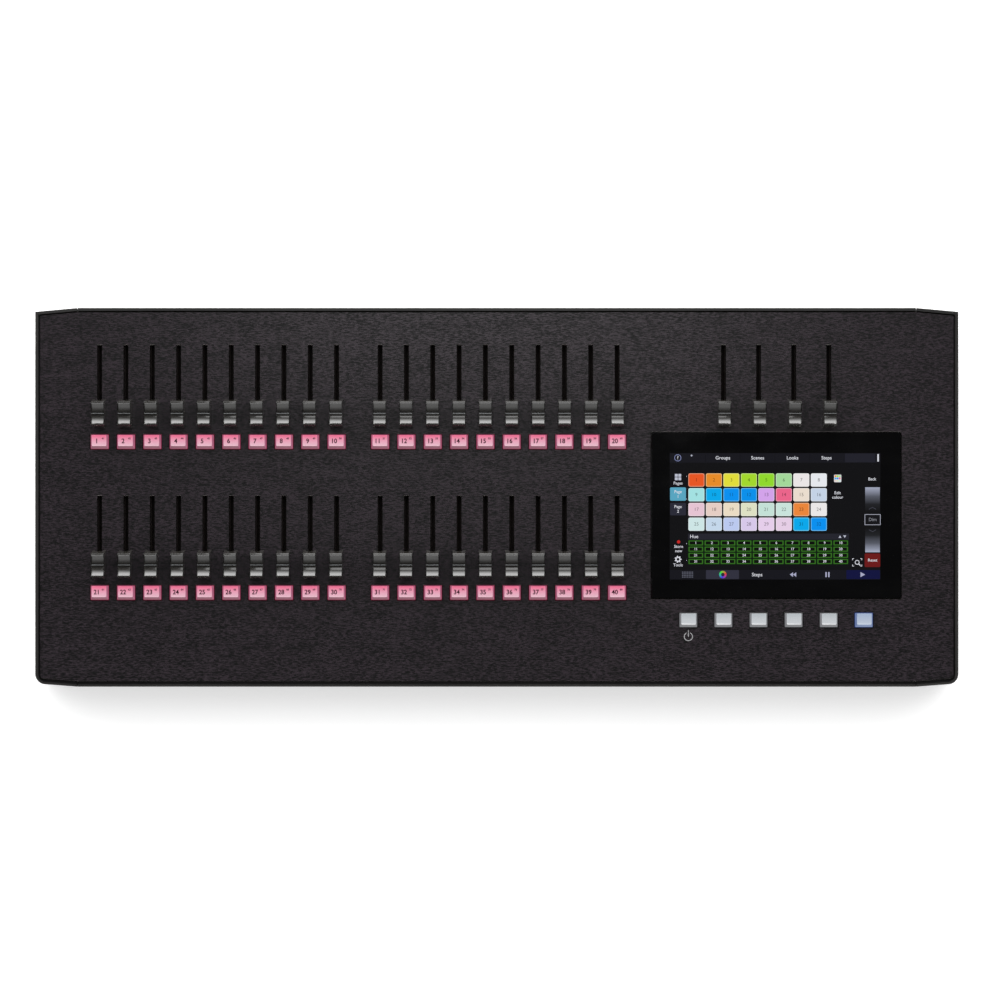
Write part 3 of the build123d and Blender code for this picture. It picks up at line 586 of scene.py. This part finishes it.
def make_key_mesh(name, top, skirt, lip):
    """A keycap with leaning sides, a long front slope, soft edges and a very slightly dished top.

    The three materials are for the lit top, and for the sides and the front slope, whose dimmer
    glows are painted shade and light set by which way each faces. Each ring is (share of the way
    from KEY_SIZE to
    KEY_TOP_SIZE, growth in mm, height, corner radius in mm).
    """
    rings = [
        (0.0, 0.0, KEY_ROOT, 0.5), (0.0, 0.0, KEY_SHOULDER - 0.2 * MM, 0.5),
        (0.0, -0.05, KEY_SHOULDER + 0.1 * MM, 0.5), (0.5, 0.3, KEY_MIDDLE, 0.6),
        (1.0, 0.14, KEY_TOP - 0.34 * MM, 0.7), (1.0, 0.0, KEY_TOP - 0.12 * MM, 0.75),
        (1.0, -0.3, KEY_TOP, 0.75), (1.0, -1.2, KEY_TOP - 0.02 * MM, 0.7),
        (1.0, -4.4, KEY_TOP - 0.1 * MM, 0.6),
    ]
    bm = bmesh.new()
    loops = []
    for share, growth, height, radius in rings:
        width, depth = [foot_size + share * (top_size - foot_size) + growth * MM
                        for foot_size, top_size in zip(KEY_SIZE, KEY_TOP_SIZE)]
        outline = moved(rounded_outline(width, depth, radius * MM, 4), 0, share * KEY_TOP_SHIFT)
        loops.append([bm.verts.new((x, y, height)) for x, y in outline])
    for lower, upper in zip(loops, loops[1:]):
        join_loops(bm, lower, upper)
    bm.faces.new(loops[-1])
    bm.faces.new(loops[0][::-1])
    mesh = mesh_from(bm, name, 35)
    for made in (top, skirt, lip):
        mesh.materials.append(made.material)
    for polygon in mesh.polygons:
        height = polygon.center.z
        if height < KEY_TOP - 0.2 * MM:
            # the sides and the front slope, told apart by which way they face, take glows of
            # painted shade and light
            polygon.material_index = 2 if height > KEY_SHOULDER and polygon.normal.y < -0.5 else 1
    return mesh


LIT_CLOUD = 0.12                           # how far clouds nudge the run of colour
LIT_BODY = 0.35                            # share of the light's colour that the plastic has


def lit(name, rear, middle, front, edge, strength):
    """Translucent plastic lit from below: the colour runs from the rear to a bright front edge."""
    made = Material(name, Roughness=0.32, Emission_Strength=strength)
    along = made.coords(output="Generated")
    split = made.node("ShaderNodeSeparateXYZ", {0: along})
    cloud = made.noise(140.0, 2.0)
    factor = made.node("ShaderNodeMath", {0: cloud, 1: LIT_CLOUD, 2: split.outputs["Y"]},
                       operation="MULTIPLY_ADD")
    shade = made.ramp(factor.outputs[0], (0.27, edge), (0.33, front), (0.62, middle), (0.98, rear))
    made.plug("Emission Color", shade)
    body = (LIT_BODY, LIT_BODY, LIT_BODY, 1)
    darker_tone = made.node("ShaderNodeMixRGB", {"Fac": 1.0, "Color1": shade, "Color2": body},
                     blend_type="MULTIPLY")
    made.plug("Base Color", darker_tone.outputs["Color"])
    made.bump(made.noise(900.0, 2.0), 0.01 * MM, 0.3)
    return made


def glow(name, dim, bright):
    """Evenly lit plastic, dimmer than a key's top: a key's sides or front slope in painted shade
    and light, or the light guide round it.
    """
    made = Material(name, Roughness=0.6, Emission_Strength=1.0, Base_Color=(0.006, 0.003, 0.004, 1))
    made.plug("Emission Color", made.ramp(made.noise(90.0, 2.0), (0.3, dim), (0.7, bright)))
    return made


key_pink = lit("key_pink", linear(250, 122, 158), linear(242, 166, 190), linear(238, 188, 204),
               linear(248, 204, 217), 0.65)
key_white = lit("key_white", linear(178, 184, 188), linear(190, 194, 198), linear(195, 198, 202),
                linear(250, 250, 252), 0.7)
key_blue = lit("key_blue", linear(160, 176, 200), linear(172, 184, 204), linear(182, 192, 208),
               linear(214, 224, 238), 0.7)

glow_pink = glow("glow_pink", linear(104, 6, 40), linear(134, 12, 54))
glow_white = glow("glow_white", linear(44, 45, 47), linear(62, 63, 65))
glow_blue = glow("glow_blue", linear(20, 34, 84), linear(30, 50, 116))
# the key's backlight on its sides and front slope, dimmed and toned apart by which way they face:
# painted shade and light
side_pink = glow("side_pink", linear(152, 82, 108), linear(174, 102, 128))
side_white = glow("side_white", linear(112, 113, 116), linear(130, 131, 135))
side_blue = glow("side_blue", linear(92, 110, 152), linear(106, 126, 170))
lip_pink = glow("lip_pink", linear(130, 82, 97), linear(146, 96, 110))
lip_white = glow("lip_white", linear(118, 119, 122), linear(132, 133, 136))
lip_blue = glow("lip_blue", linear(114, 130, 164), linear(130, 146, 180))

key_mesh = make_key_mesh("channel_keycap", key_pink, side_pink, lip_pink)
white_mesh = make_key_mesh("screen_keycap", key_white, side_white, lip_white)
blue_mesh = make_key_mesh("select_keycap", key_blue, side_blue, lip_blue)


def add_frame(bm, x, y):
    """A slim light guide in the gap round a key: a rectangular ring."""
    outer = moved(rounded_outline(*OPENING, 0.3 * MM, 2), x, y)
    inner = moved(rounded_outline(*GUIDE_INSIDE, 0.5 * MM, 2), x, y)
    add_band(bm, outer, inner, GUIDE_TOP - GUIDE_THICK, GUIDE_TOP)


def add_number(bm, number, x, y, look, **settings):
    """A number on the key whose middle is at x, y; the look is (size, x and y from there)."""
    size, dx, dy = look
    add_text(bm, str(number), size, x + dx, y + dy, PRINT_H, **settings)


# each key has its channel's number and, small at its upper right, that of the second page
NUMERAL = (4.7 * MM, -1.7 * MM, 0.4 * MM)
SECOND_NUMERAL = (1.9 * MM, 2.9 * MM, 2.3 * MM)
numerals = bmesh.new()
pink_frames = bmesh.new()
for number, name in enumerate(fader_names, start=1):
    x, y = fader_places[name][0], fader_places[name][1] - KEY_BELOW_FADER
    key = new_piece(f"channel_key_{number:02d}", key_mesh, key_pink, "channel_keys",
                    on_deck(x, y))
    if number == 1:
        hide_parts("channel_keys")
    add_number(numerals, number, x, y, NUMERAL, narrow=0.95, bold=0.10 * MM)
    add_number(numerals, number + CHANNELS, x, y, SECOND_NUMERAL, bold=0.05 * MM)
    add_frame(pink_frames, x, y)
new_piece("channel_key_numerals", mesh_from(numerals, "numerals"), key_ink, "channel_keys",
          on_deck(0, 0))
new_piece("channel_key_light_frames", mesh_from(pink_frames, "pink_frames"), glow_pink, "desk",
          on_deck(0, 0))

# six keys under the screen, at the masters' pitch; the last one is lit blue
master_xs = [fader_places[name][0] for name in master_names]
MASTER_PITCH = (master_xs[-1] - master_xs[0]) / (MASTERS - 1)
SCREEN_X = sum(master_xs) / MASTERS
SCREEN_KEYS = 6
row_low, row_high = deck_box("screen_keys")
SCREEN_KEY_Y = (row_low.y + row_high.y) / 2
screen_key_xs = [SCREEN_X + (i - (SCREEN_KEYS - 1) / 2) * MASTER_PITCH for i in range(SCREEN_KEYS)]
white_frames = bmesh.new()
blue_frame = bmesh.new()
for number, x in enumerate(screen_key_xs, start=1):
    last = number == SCREEN_KEYS
    key = new_piece(f"screen_key_{number}", blue_mesh if last else white_mesh,
                    key_blue if last else key_white, "screen_keys",
                    on_deck(x, SCREEN_KEY_Y))
    if number == 1:
        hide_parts("screen_keys")
    add_frame(blue_frame if last else white_frames, x, SCREEN_KEY_Y)
new_piece("screen_key_light_frames", mesh_from(white_frames, "white_frames"), glow_white, "desk",
          on_deck(0, 0))
new_piece("select_key_light_frame", mesh_from(blue_frame, "blue_frame"), glow_blue, "desk",
          on_deck(0, 0))

# ------------------------------------------------------------------ power mark printed on the deck
POWER_R, POWER_STROKE = 2.95 * MM, 0.6 * MM
POWER_X, POWER_Y = screen_key_xs[0], SCREEN_KEY_Y - 11.9 * MM
POWER_GAP = 54                             # degrees left open at the top of the ring
POWER_STEPS = 40
BAR_LENGTH, BAR_UP = 5.0 * MM, 2.3 * MM    # the bar's middle lies this far above the ring's
PRINT_THICK = 0.03 * MM
power = bmesh.new()
arc = []
for radius, order in ((POWER_R + POWER_STROKE / 2, 1), (POWER_R - POWER_STROKE / 2, -1)):
    for step in range(POWER_STEPS + 1)[::order]:
        angle = math.radians(90 + POWER_GAP / 2 + (360 - POWER_GAP) * step / POWER_STEPS)
        arc.append((POWER_X + radius * math.cos(angle), POWER_Y + radius * math.sin(angle)))
add_prism(power, arc, 0.0, PRINT_THICK)
bar = rounded_outline(POWER_STROKE, BAR_LENGTH, 0.3 * MM, 3)
add_prism(power, moved(bar, POWER_X, POWER_Y + BAR_UP), 0.0, PRINT_THICK)
new_piece("power_mark", mesh_from(power, "power_mark"), print_grey, "desk",
          on_deck(0, 0))

# ------------------------------------------------------------------ what the touch screen shows
# Places on the screen are in millimetres right of and below the lit area's upper left corner.
SCREEN_WIDTH, SCREEN_DEPTH = 152.4, 91.4
OFF_LEFT, OFF_FRONT = 0.8 * MM, 0.65 * MM  # of the lit area's middle from the glass's middle
glass_low, glass_high = deck_box("touch_glass")
SCREEN_LEFT = (glass_low.x + glass_high.x) / 2 - OFF_LEFT - SCREEN_WIDTH * MM / 2
SCREEN_TOP = (glass_low.y + glass_high.y) / 2 - OFF_FRONT + SCREEN_DEPTH * MM / 2
GLASS_LEVEL = glass_high.z
LAYER = 0.03 * MM                          # from one layer of shapes to the next
SHAPE_THICK = 0.6 * LAYER
WHITE = linear(226, 228, 236)


def screen_point(x, y):
    """Deck coordinates in metres of a place on the screen."""
    return SCREEN_LEFT + x * MM, SCREEN_TOP - y * MM


def circle(x, y, radius, sides):
    """Places round a circle on the screen, counter-clockwise as seen."""
    turn = [2 * math.pi * i / sides for i in range(sides)]
    return [(x + radius * math.cos(a), y - radius * math.sin(a)) for a in turn]


class Screen:
    """Flat coloured shapes of one screen group, in layers just over the glass."""

    def __init__(self):
        self.bm = bmesh.new()
        self.shade = self.bm.loops.layers.float_color.new("shade")

    def tint(self, start, colour):
        """Colour the faces made since there were start of them."""
        self.bm.faces.ensure_lookup_table()
        for face in self.bm.faces[start:]:
            for loop in face.loops:
                loop[self.shade] = colour

    def shape(self, points, layer, colour):
        """A closed outline, its points counter-clockwise as seen, in screen millimetres."""
        start = len(self.bm.faces)
        outline = [screen_point(x, y) for x, y in points]
        base = GLASS_LEVEL + layer * LAYER
        add_prism(self.bm, outline, base, base + SHAPE_THICK)
        self.tint(start, colour)

    def box(self, x, y, width, depth, layer, colour, radius):
        outline = rounded_outline(width, depth, radius, 3)
        points = [(x + width / 2 + px, y + depth / 2 - py) for px, py in outline]
        self.shape(points, layer, colour)

    def frame(self, x, y, width, depth, line, layer, colour):
        """A hollow rectangle, its line drawn as four boxes."""
        inner = depth - 2 * line
        for left, top, across, down in ((x, y, width, line), (x, y + depth - line, width, line),
                                        (x, y + line, line, inner),
                                        (x + width - line, y + line, line, inner)):
            self.box(left, top, across, down, layer, colour, line * 0.3)

    def disc(self, x, y, radius, layer, colour, sides=24):
        self.shape(circle(x, y, radius, sides), layer, colour)

    def ring(self, x, y, radius, line, layer, colour, sides=28):
        start = len(self.bm.faces)
        outer, inner = [[screen_point(*point) for point in circle(x, y, r, sides)]
                        for r in (radius + line / 2, radius - line / 2)]
        base = GLASS_LEVEL + layer * LAYER
        add_band(self.bm, outer, inner, base, base + SHAPE_THICK)
        self.tint(start, colour)

    def words(self, text, x, y, size, layer, colour, bold=0.0):
        start = len(self.bm.faces)
        add_text(self.bm, text, size * MM, *screen_point(x, y), GLASS_LEVEL + layer * LAYER,
                 thick=SHAPE_THICK, bold=bold * MM)
        self.tint(start, colour)

    def fade(self, x, y, width, depth, stops, layer):
        """A bar whose colour runs down through the stops (share of the depth, colour)."""
        low = GLASS_LEVEL + layer * LAYER
        high = low + SHAPE_THICK
        section = [(x, low), (x + width, low), (x + width, high), (x, high)]
        rows = []
        for share, colour in stops:
            down = y + share * depth
            rows.append(([self.bm.verts.new((*screen_point(across, down), h))
                          for across, h in section], colour))
        for verts, colour in (rows[0], rows[-1]):
            for loop in self.bm.faces.new(verts).loops:
                loop[self.shade] = colour
        for (above, upper), (below, lower) in zip(rows, rows[1:]):
            for i in range(len(above)):
                j = (i + 1) % len(above)
                for loop in self.bm.faces.new((below[i], below[j], above[j], above[i])).loops:
                    loop[self.shade] = upper if loop.vert in above else lower

    def piece(self, name):
        return new_piece(name, mesh_from(self.bm, name), screen_light, "desk",
                         on_deck(0, 0))


screen_light = Material("screen_light", Roughness=0.08, IOR=1.5, Emission_Strength=1.0,
                        Base_Color=(0.003, 0.003, 0.003, 1))
shade = screen_light.node("ShaderNodeAttribute", attribute_name="shade").outputs["Color"]
rows = screen_light.node("ShaderNodeTexWave", {"Vector": screen_light.coords((0, 1, 0)),
                                               "Scale": 900.0, "Distortion": 0.0})
line_dim = screen_light.spread(rows.outputs["Fac"], 0.9, 1.0, 0.0, 1.0)
dimmed = screen_light.node("ShaderNodeVectorMath", {0: shade, "Scale": line_dim},
                           operation="SCALE")
screen_light.plug("Emission Color", dimmed.outputs["Vector"])

# the grounds of the bars, panes and buttons: (x, y, width, depth, layer, colour, corner radius)
BAR_DEPTH, LOWER_BAR_Y = 6.9, 84.5
PANES = [
    (0, 0, SCREEN_WIDTH, SCREEN_DEPTH, 1, linear(13, 13, 16), 0.2),
    (0, 0, SCREEN_WIDTH, BAR_DEPTH, 2, linear(22, 22, 29), 0.2),
    (126.6, 0.3, 22.0, 6.3, 3, linear(33, 33, 43), 0.4),
    (150.2, 0.7, 1.1, 5.4, 3, WHITE, 0.2),
    (0.25, 24.8, 11.5, 9.6, 2, linear(92, 172, 200), 0.8),
    (0.25, 36.0, 11.5, 9.0, 2, linear(42, 43, 56), 0.8),
    (13.2, 58.2, 116.5, 4.4, 2, linear(36, 36, 46), 0.3),
    (0, LOWER_BAR_Y, SCREEN_WIDTH, BAR_DEPTH, 2, linear(20, 20, 27), 0.2),
    (26.2, 84.6, 23.9, 6.5, 3, linear(50, 50, 64), 0.6),
    (127.8, 84.6, 24.3, 6.5, 3, linear(14, 17, 64), 0.6),
    (141.0, 72.6, 11.3, 9.8, 2, linear(112, 24, 24), 0.8),
]
TABS, TAB_X, TAB_PITCH = 5, 25.6, 25.15    # the dark lines between the upper bar's tabs
SLIDER = (141.4, 24.7, 10.6, 47.0)         # x, y, width, depth
SLIDER_KNOB = (141.0, 44.2, 11.5, 7.8)
SLIDER_STOPS = [(0.0, 196), (0.05, 168), (0.14, 104), (0.26, 38), (0.38, 16), (0.62, 16),
                (0.74, 38), (0.86, 104), (0.95, 168), (1.0, 206)]
grounds = Screen()
for pane in PANES:
    grounds.box(*pane)
for tab in range(TABS):
    grounds.box(TAB_X + tab * TAB_PITCH, 0.6, 0.3, 5.7, 3, linear(12, 12, 16), 0.05)
grounds.fade(*SLIDER, [(share, linear(level * 0.86, level * 0.89, level))
                       for share, level in SLIDER_STOPS], 2)
grounds.box(*SLIDER_KNOB, 4, linear(18, 18, 22), 1.0)
grounds.frame(*SLIDER_KNOB, 0.35, 5, linear(188, 190, 206))
grounds.piece("screen_grounds")

# the colour palette: four rows of eight chips, each with its number
CHIP_COLOURS = [
    [(240, 90, 35), (240, 145, 40), (235, 230, 60), (170, 225, 45),
     (150, 226, 45), (170, 225, 160), (245, 240, 240), (240, 243, 248)],
    [(170, 235, 235), (0, 175, 245), (0, 150, 250), (0, 150, 245),
     (220, 170, 245), (245, 105, 145), (245, 230, 215), (205, 220, 240)],
    [(240, 205, 220), (240, 215, 205), (245, 230, 205), (232, 235, 205),
     (205, 235, 225), (210, 238, 230), (245, 140, 60), (245, 242, 242)],
    [(215, 240, 240), (205, 225, 245), (195, 210, 250), (225, 210, 245),
     (240, 215, 245), (240, 215, 240), (0, 175, 245), (0, 150, 250)],
]
CHIP_X, CHIP_Y = 13.5, 14.65
CHIP_PITCH_X, CHIP_PITCH_Y = 12.65, 10.65
CHIP_WIDTH, CHIP_DEPTH = 11.6, 9.6
CHIP_EDGE, EDGE_LIFT = 0.5, 0.42           # the edge is this share of the way to white
NUMBER_SHADE = 0.52
chips = Screen()
chip_numbers = Screen()
for row, colours in enumerate(CHIP_COLOURS):
    for column, colour in enumerate(colours):
        x, y = CHIP_X + column * CHIP_PITCH_X, CHIP_Y + row * CHIP_PITCH_Y
        edge = linear(*(value + EDGE_LIFT * (255 - value) for value in colour))
        chips.box(x, y, CHIP_WIDTH, CHIP_DEPTH, 2, edge, 1.2)
        chips.box(x + CHIP_EDGE, y + CHIP_EDGE, CHIP_WIDTH - 2 * CHIP_EDGE,
                  CHIP_DEPTH - 2 * CHIP_EDGE, 3, linear(*colour), 0.9)
        number = str(row * len(colours) + column + 1)
        ink = linear(*(NUMBER_SHADE * value for value in colour))
        chip_numbers.words(number, x + CHIP_WIDTH / 2, y + CHIP_DEPTH / 2, 3.5, 4, ink)
chips.piece("screen_colour_chips")
chip_numbers.piece("screen_chip_numbers")

# the channel grid under its header
GRID_X, GRID_Y = 13.3, 63.0
GRID_PITCH_X, GRID_PITCH_Y = 11.65, 4.48
CELL_WIDTH, CELL_DEPTH = 11.1, 3.95
GRID_COLUMNS = 10
# a cell is three boxes, one in the other: (inset across, inset down, layer, colour, corner radius)
CELL_BOXES = [
    (-0.15, -0.15, 2, linear(10, 40, 8), 0.2), (0.3, 0.2, 3, linear(54, 112, 32), 0.4),
    (1.1, 0.85, 4, linear(5, 10, 4), 0.2),
]
grid = Screen()
for channel in range(CHANNELS):
    row, column = divmod(channel, GRID_COLUMNS)
    x, y = GRID_X + column * GRID_PITCH_X, GRID_Y + row * GRID_PITCH_Y
    for dx, dy, layer, colour, radius in CELL_BOXES:
        grid.box(x + dx, y + dy, CELL_WIDTH - 2 * dx, CELL_DEPTH - 2 * dy, layer, colour, radius)
    grid.words(str(channel + 1), x + CELL_WIDTH / 2, y + CELL_DEPTH / 2, 2.6, 5, WHITE, bold=0.03)
grid.piece("screen_channel_grid")

# generic words: (text, x, y, size)
LABELS = [
    ("?", 5.8, 3.4, 3.6), ("Groups", 38.4, 3.5, 3.5), ("Scenes", 63.6, 3.5, 3.5),
    ("Looks", 88.8, 3.5, 3.5), ("Steps", 113.4, 3.5, 3.5), ("Pages", 6.0, 21.8, 3.0),
    ("Page", 6.0, 28.0, 3.0), ("1", 6.0, 31.4, 3.0), ("Page", 6.0, 38.8, 3.0),
    ("2", 6.0, 42.2, 3.0), ("Store", 6.4, 67.6, 3.0), ("new", 6.4, 70.8, 3.0),
    ("Tools", 6.0, 81.0, 3.0), ("Edit", 121.4, 28.8, 3.0), ("colour", 121.4, 32.0, 3.0),
    ("Hue", 17.6, 60.4, 3.6), ("Back", 146.4, 18.8, 3.0), ("Dim", 146.8, 48.1, 3.4),
    ("Reset", 146.7, 77.5, 3.0), ("Steps", 63.2, 88.0, 3.6),
]
labels = Screen()
for text, x, y, size in LABELS:
    colour = linear(120, 122, 132) if text == "Dim" else WHITE
    labels.words(text, x, y, size, 6, colour, bold=0.02)
labels.piece("screen_labels")

ICON_WHITE = linear(196, 200, 216)
icons = Screen()

# the left column: a ring round the question mark, four squares, a record dot and a gear
icons.ring(5.8, 3.4, 2.3, 0.35, 4, linear(150, 160, 210))
for dx in (0, 1):
    for dy in (0, 1):
        icons.box(3.7 + dx * 2.5, 15.0 + dy * 2.5, 2.1, 2.1, 3, ICON_WHITE, 0.3)
icons.disc(6.4, 64.2, 1.2, 3, linear(206, 40, 36))
GEAR_X, GEAR_Y = 6.0, 76.8
TEETH, TOOTH_CIRCLE = 7, 2.1
for x, y in circle(GEAR_X, GEAR_Y, TOOTH_CIRCLE, TEETH):
    icons.disc(x, y, 0.5, 3, WHITE, 8)
icons.ring(GEAR_X, GEAR_Y, 1.45, 0.8, 4, WHITE)

# a small plus in the upper bar
PLUS_X, PLUS_Y = 15.8, 1.7
for width, depth in ((1.5, 0.4), (0.4, 1.5)):
    icons.box(PLUS_X - width / 2, PLUS_Y - depth / 2, width, depth, 4, ICON_WHITE, 0.1)

# chevrons over and under the slider's knob, each of two arms from its tip
CHEVRON_X, CHEVRON_REACH, CHEVRON_RISE, CHEVRON_LINE = 146.7, 2.6, 1.4, 0.2
CHEVRON_TONE = linear(72, 74, 86)
for end, way in ((40.6, -1), (55.4, 1)):
    tip = end + way * CHEVRON_RISE
    for side in (-1, 1):
        far = CHEVRON_X + side * CHEVRON_REACH
        arm = [(CHEVRON_X, tip - CHEVRON_LINE), (CHEVRON_X, tip + CHEVRON_LINE),
               (far, end + CHEVRON_LINE), (far, end - CHEVRON_LINE)]
        icons.shape(arm if side == 1 else arm[::-1], 4, CHEVRON_TONE)

# the colour wheel: sectors that run through the hues, with a dark hub
SECTORS = 12
WHEEL_X, WHEEL_Y, WHEEL_R = 38.4, 87.85, 2.7
for sector in range(SECTORS):
    arc = [2 * math.pi * (sector + step / 3) / SECTORS for step in range(4)]
    outline = [(WHEEL_X, WHEEL_Y)]
    outline += [(WHEEL_X + WHEEL_R * math.cos(a), WHEEL_Y - WHEEL_R * math.sin(a)) for a in arc]
    hue = 3 * sector / SECTORS
    tone = [0.05 + 0.7 * max(0.0, 1 - abs((hue - k + 1.5) % 3 - 1.5)) for k in range(3)]
    icons.shape(outline, 4, (*tone, 1.0))
icons.disc(WHEEL_X, WHEEL_Y, 1.3, 5, linear(44, 44, 56))

# a keyboard of small dots
DOTS_X, DOTS_Y, DOTS_PITCH = 8.9, 85.7, 1.2
DOT_COLUMNS, DOT_ROWS = 7, 4
for column in range(DOT_COLUMNS):
    for row in range(DOT_ROWS):
        icons.box(DOTS_X + column * DOTS_PITCH, DOTS_Y + row * DOTS_PITCH, 0.8, 0.75, 4,
                  linear(96, 98, 112), 0.1)

# a pale card with nine of the palette's colours
CARD_X, CARD_Y = 118.9, 15.6
icons.box(CARD_X, CARD_Y, 5.2, 5.4, 2, linear(236, 236, 240), 0.5)
for row in range(3):
    for column in range(3):
        tone = linear(*CHIP_COLOURS[row][column * 2 + 1])
        icons.box(CARD_X + 0.4 + column * 1.5, CARD_Y + 0.4 + row * 1.6, 1.3, 1.4, 3, tone, 0.2)

# up and down arrows in the grid's header
ARROW_Y, ARROW_HALF_WIDTH, ARROW_HALF_HEIGHT = 60.4, 1.1, 0.9
for x, way in ((123.2, 1), (126.6, -1)):
    tip, base = ARROW_Y - ARROW_HALF_HEIGHT * way, ARROW_Y + ARROW_HALF_HEIGHT * way
    outline = [(x - ARROW_HALF_WIDTH, base), (x + ARROW_HALF_WIDTH, base), (x, tip)]
    icons.shape(outline if way == 1 else outline[::-1], 3, ICON_WHITE)

# a magnifier between four corner brackets
LENS_X, LENS_Y = 135.6, 79.0
BRACKET_X, BRACKET_Y = 2.9, 2.7
icons.ring(LENS_X, LENS_Y, 1.45, 0.5, 3, WHITE)
icons.shape([(LENS_X + 0.8, LENS_Y + 1.3), (LENS_X + 1.3, LENS_Y + 0.8),
             (LENS_X + 2.5, LENS_Y + 2.0), (LENS_X + 2.0, LENS_Y + 2.5)], 3, WHITE)
for sx in (-1, 1):
    for sy in (-1, 1):
        corner_x, corner_y = LENS_X + sx * BRACKET_X, LENS_Y + sy * BRACKET_Y
        icons.box(corner_x - 0.65, corner_y - 0.2, 1.3, 0.4, 3, WHITE, 0.1)
        icons.box(corner_x + sx * 0.45 - 0.2, corner_y - sy * 0.5 - 0.6, 0.4, 1.2, 3, WHITE, 0.1)

# rewind, pause and play in the lower bar, and the small arrows beside the left column
PLAY_TONE = linear(176, 178, 206)
PLAY_TOP, PLAY_MIDDLE, PLAY_FOOT = 86.0, 87.85, 89.7
for x in (88.0, 90.3):
    icons.shape([(x + 1.2, 86.2), (x - 1.1, PLAY_MIDDLE), (x + 1.2, 89.5)], 4, PLAY_TONE)
for x in (113.1, 115.1):
    icons.box(x - 0.5, PLAY_TOP, 1.0, PLAY_FOOT - PLAY_TOP, 4, PLAY_TONE, 0.15)
icons.shape([(138.0, PLAY_TOP), (138.0, PLAY_FOOT), (141.4, PLAY_MIDDLE)], 4, PLAY_TONE)
for y in (16.8, 33.2, 65.4, 77.6):
    icons.shape([(12.0, y - 0.5), (12.0, y + 0.5), (12.5, y)], 3, ICON_WHITE)
icons.piece("screen_icons")

# ------------------------------------------------------------------ floor and light
FLOOR_REACH = 8.0                          # the pale floor's half width
floor_mesh = bpy.data.meshes.new("floor")
signs = ((-1, -1), (1, -1), (1, 1), (-1, 1))
corners = [(sx * FLOOR_REACH, sy * FLOOR_REACH, 0) for sx, sy in signs]
floor_mesh.from_pydata(corners, [], [(0, 1, 2, 3)])
floor = new_object("floor", floor_mesh)
pale = Material("pale_floor", Roughness=0.8, Emission_Color=(1, 1, 1, 1), Emission_Strength=0.5)
pale.plug("Base Color", pale.ramp(pale.noise(3.0, 2.0), (0.3, (0.90, 0.90, 0.90, 1)),
                                  (0.7, (0.92, 0.92, 0.92, 1))))
floor_mesh.materials.append(pale.material)

# The studio: a bright backdrop low behind the desk, weaker light low at its sides and in front of
# it, and near darkness overhead.
REAR_GLOW, SIDE_GLOW, ROOM_GLOW = 4.5, 0.8, 0.03
world = bpy.data.worlds.new("studio")
world.use_nodes = True
bpy.context.scene.world = world
sky = world.node_tree


def sky_ramp(value, start, end, low, high):
    """value from start to end becomes a number from low to high, with soft ends."""
    inputs = {"Value": value, "From Min": start, "From Max": end, "To Min": low, "To Max": high}
    made = add_node(sky, "ShaderNodeMapRange", inputs, interpolation_type="SMOOTHSTEP")
    return made.outputs["Result"]


heading = add_node(sky, "ShaderNodeTexCoord").outputs["Generated"]
parts = add_node(sky, "ShaderNodeSeparateXYZ", {0: heading})
rearward = sky_ramp(parts.outputs["Y"], -0.1, 0.8, SIDE_GLOW, REAR_GLOW)
low_down = sky_ramp(parts.outputs["Z"], 0.42, 0.97, 1.0, 0.0)
glow_level = add_node(sky, "ShaderNodeMath", {0: rearward, 1: low_down, 2: ROOM_GLOW},
                      operation="MULTIPLY_ADD").outputs[0]
background = sky.nodes["Background"]
background.inputs["Color"].default_value = (1, 1, 1, 1)
sky.links.new(glow_level, background.inputs["Strength"])

# a wide softbox high behind the desk, aimed at the deck's middle
SOFTBOX_SIZE, SOFTBOX_WATTS = (0.7, 0.9), 3.6
SOFTBOX_REARWARD, SOFTBOX_HEIGHT = 0.62, 1.6
softbox_data = bpy.data.lights.new("softbox", "AREA")
softbox_data.shape = "RECTANGLE"
softbox_data.size, softbox_data.size_y = SOFTBOX_SIZE
softbox_data.energy = SOFTBOX_WATTS
softbox = new_object("softbox", softbox_data)
softbox_place = on_deck(0.0, SOFTBOX_REARWARD, SOFTBOX_HEIGHT).translation
softbox_aim = (softbox_place - DECK_ORIGIN).to_track_quat("Z", "Y")
softbox.matrix_world = Matrix.Translation(softbox_place) @ softbox_aim.to_matrix().to_4x4()
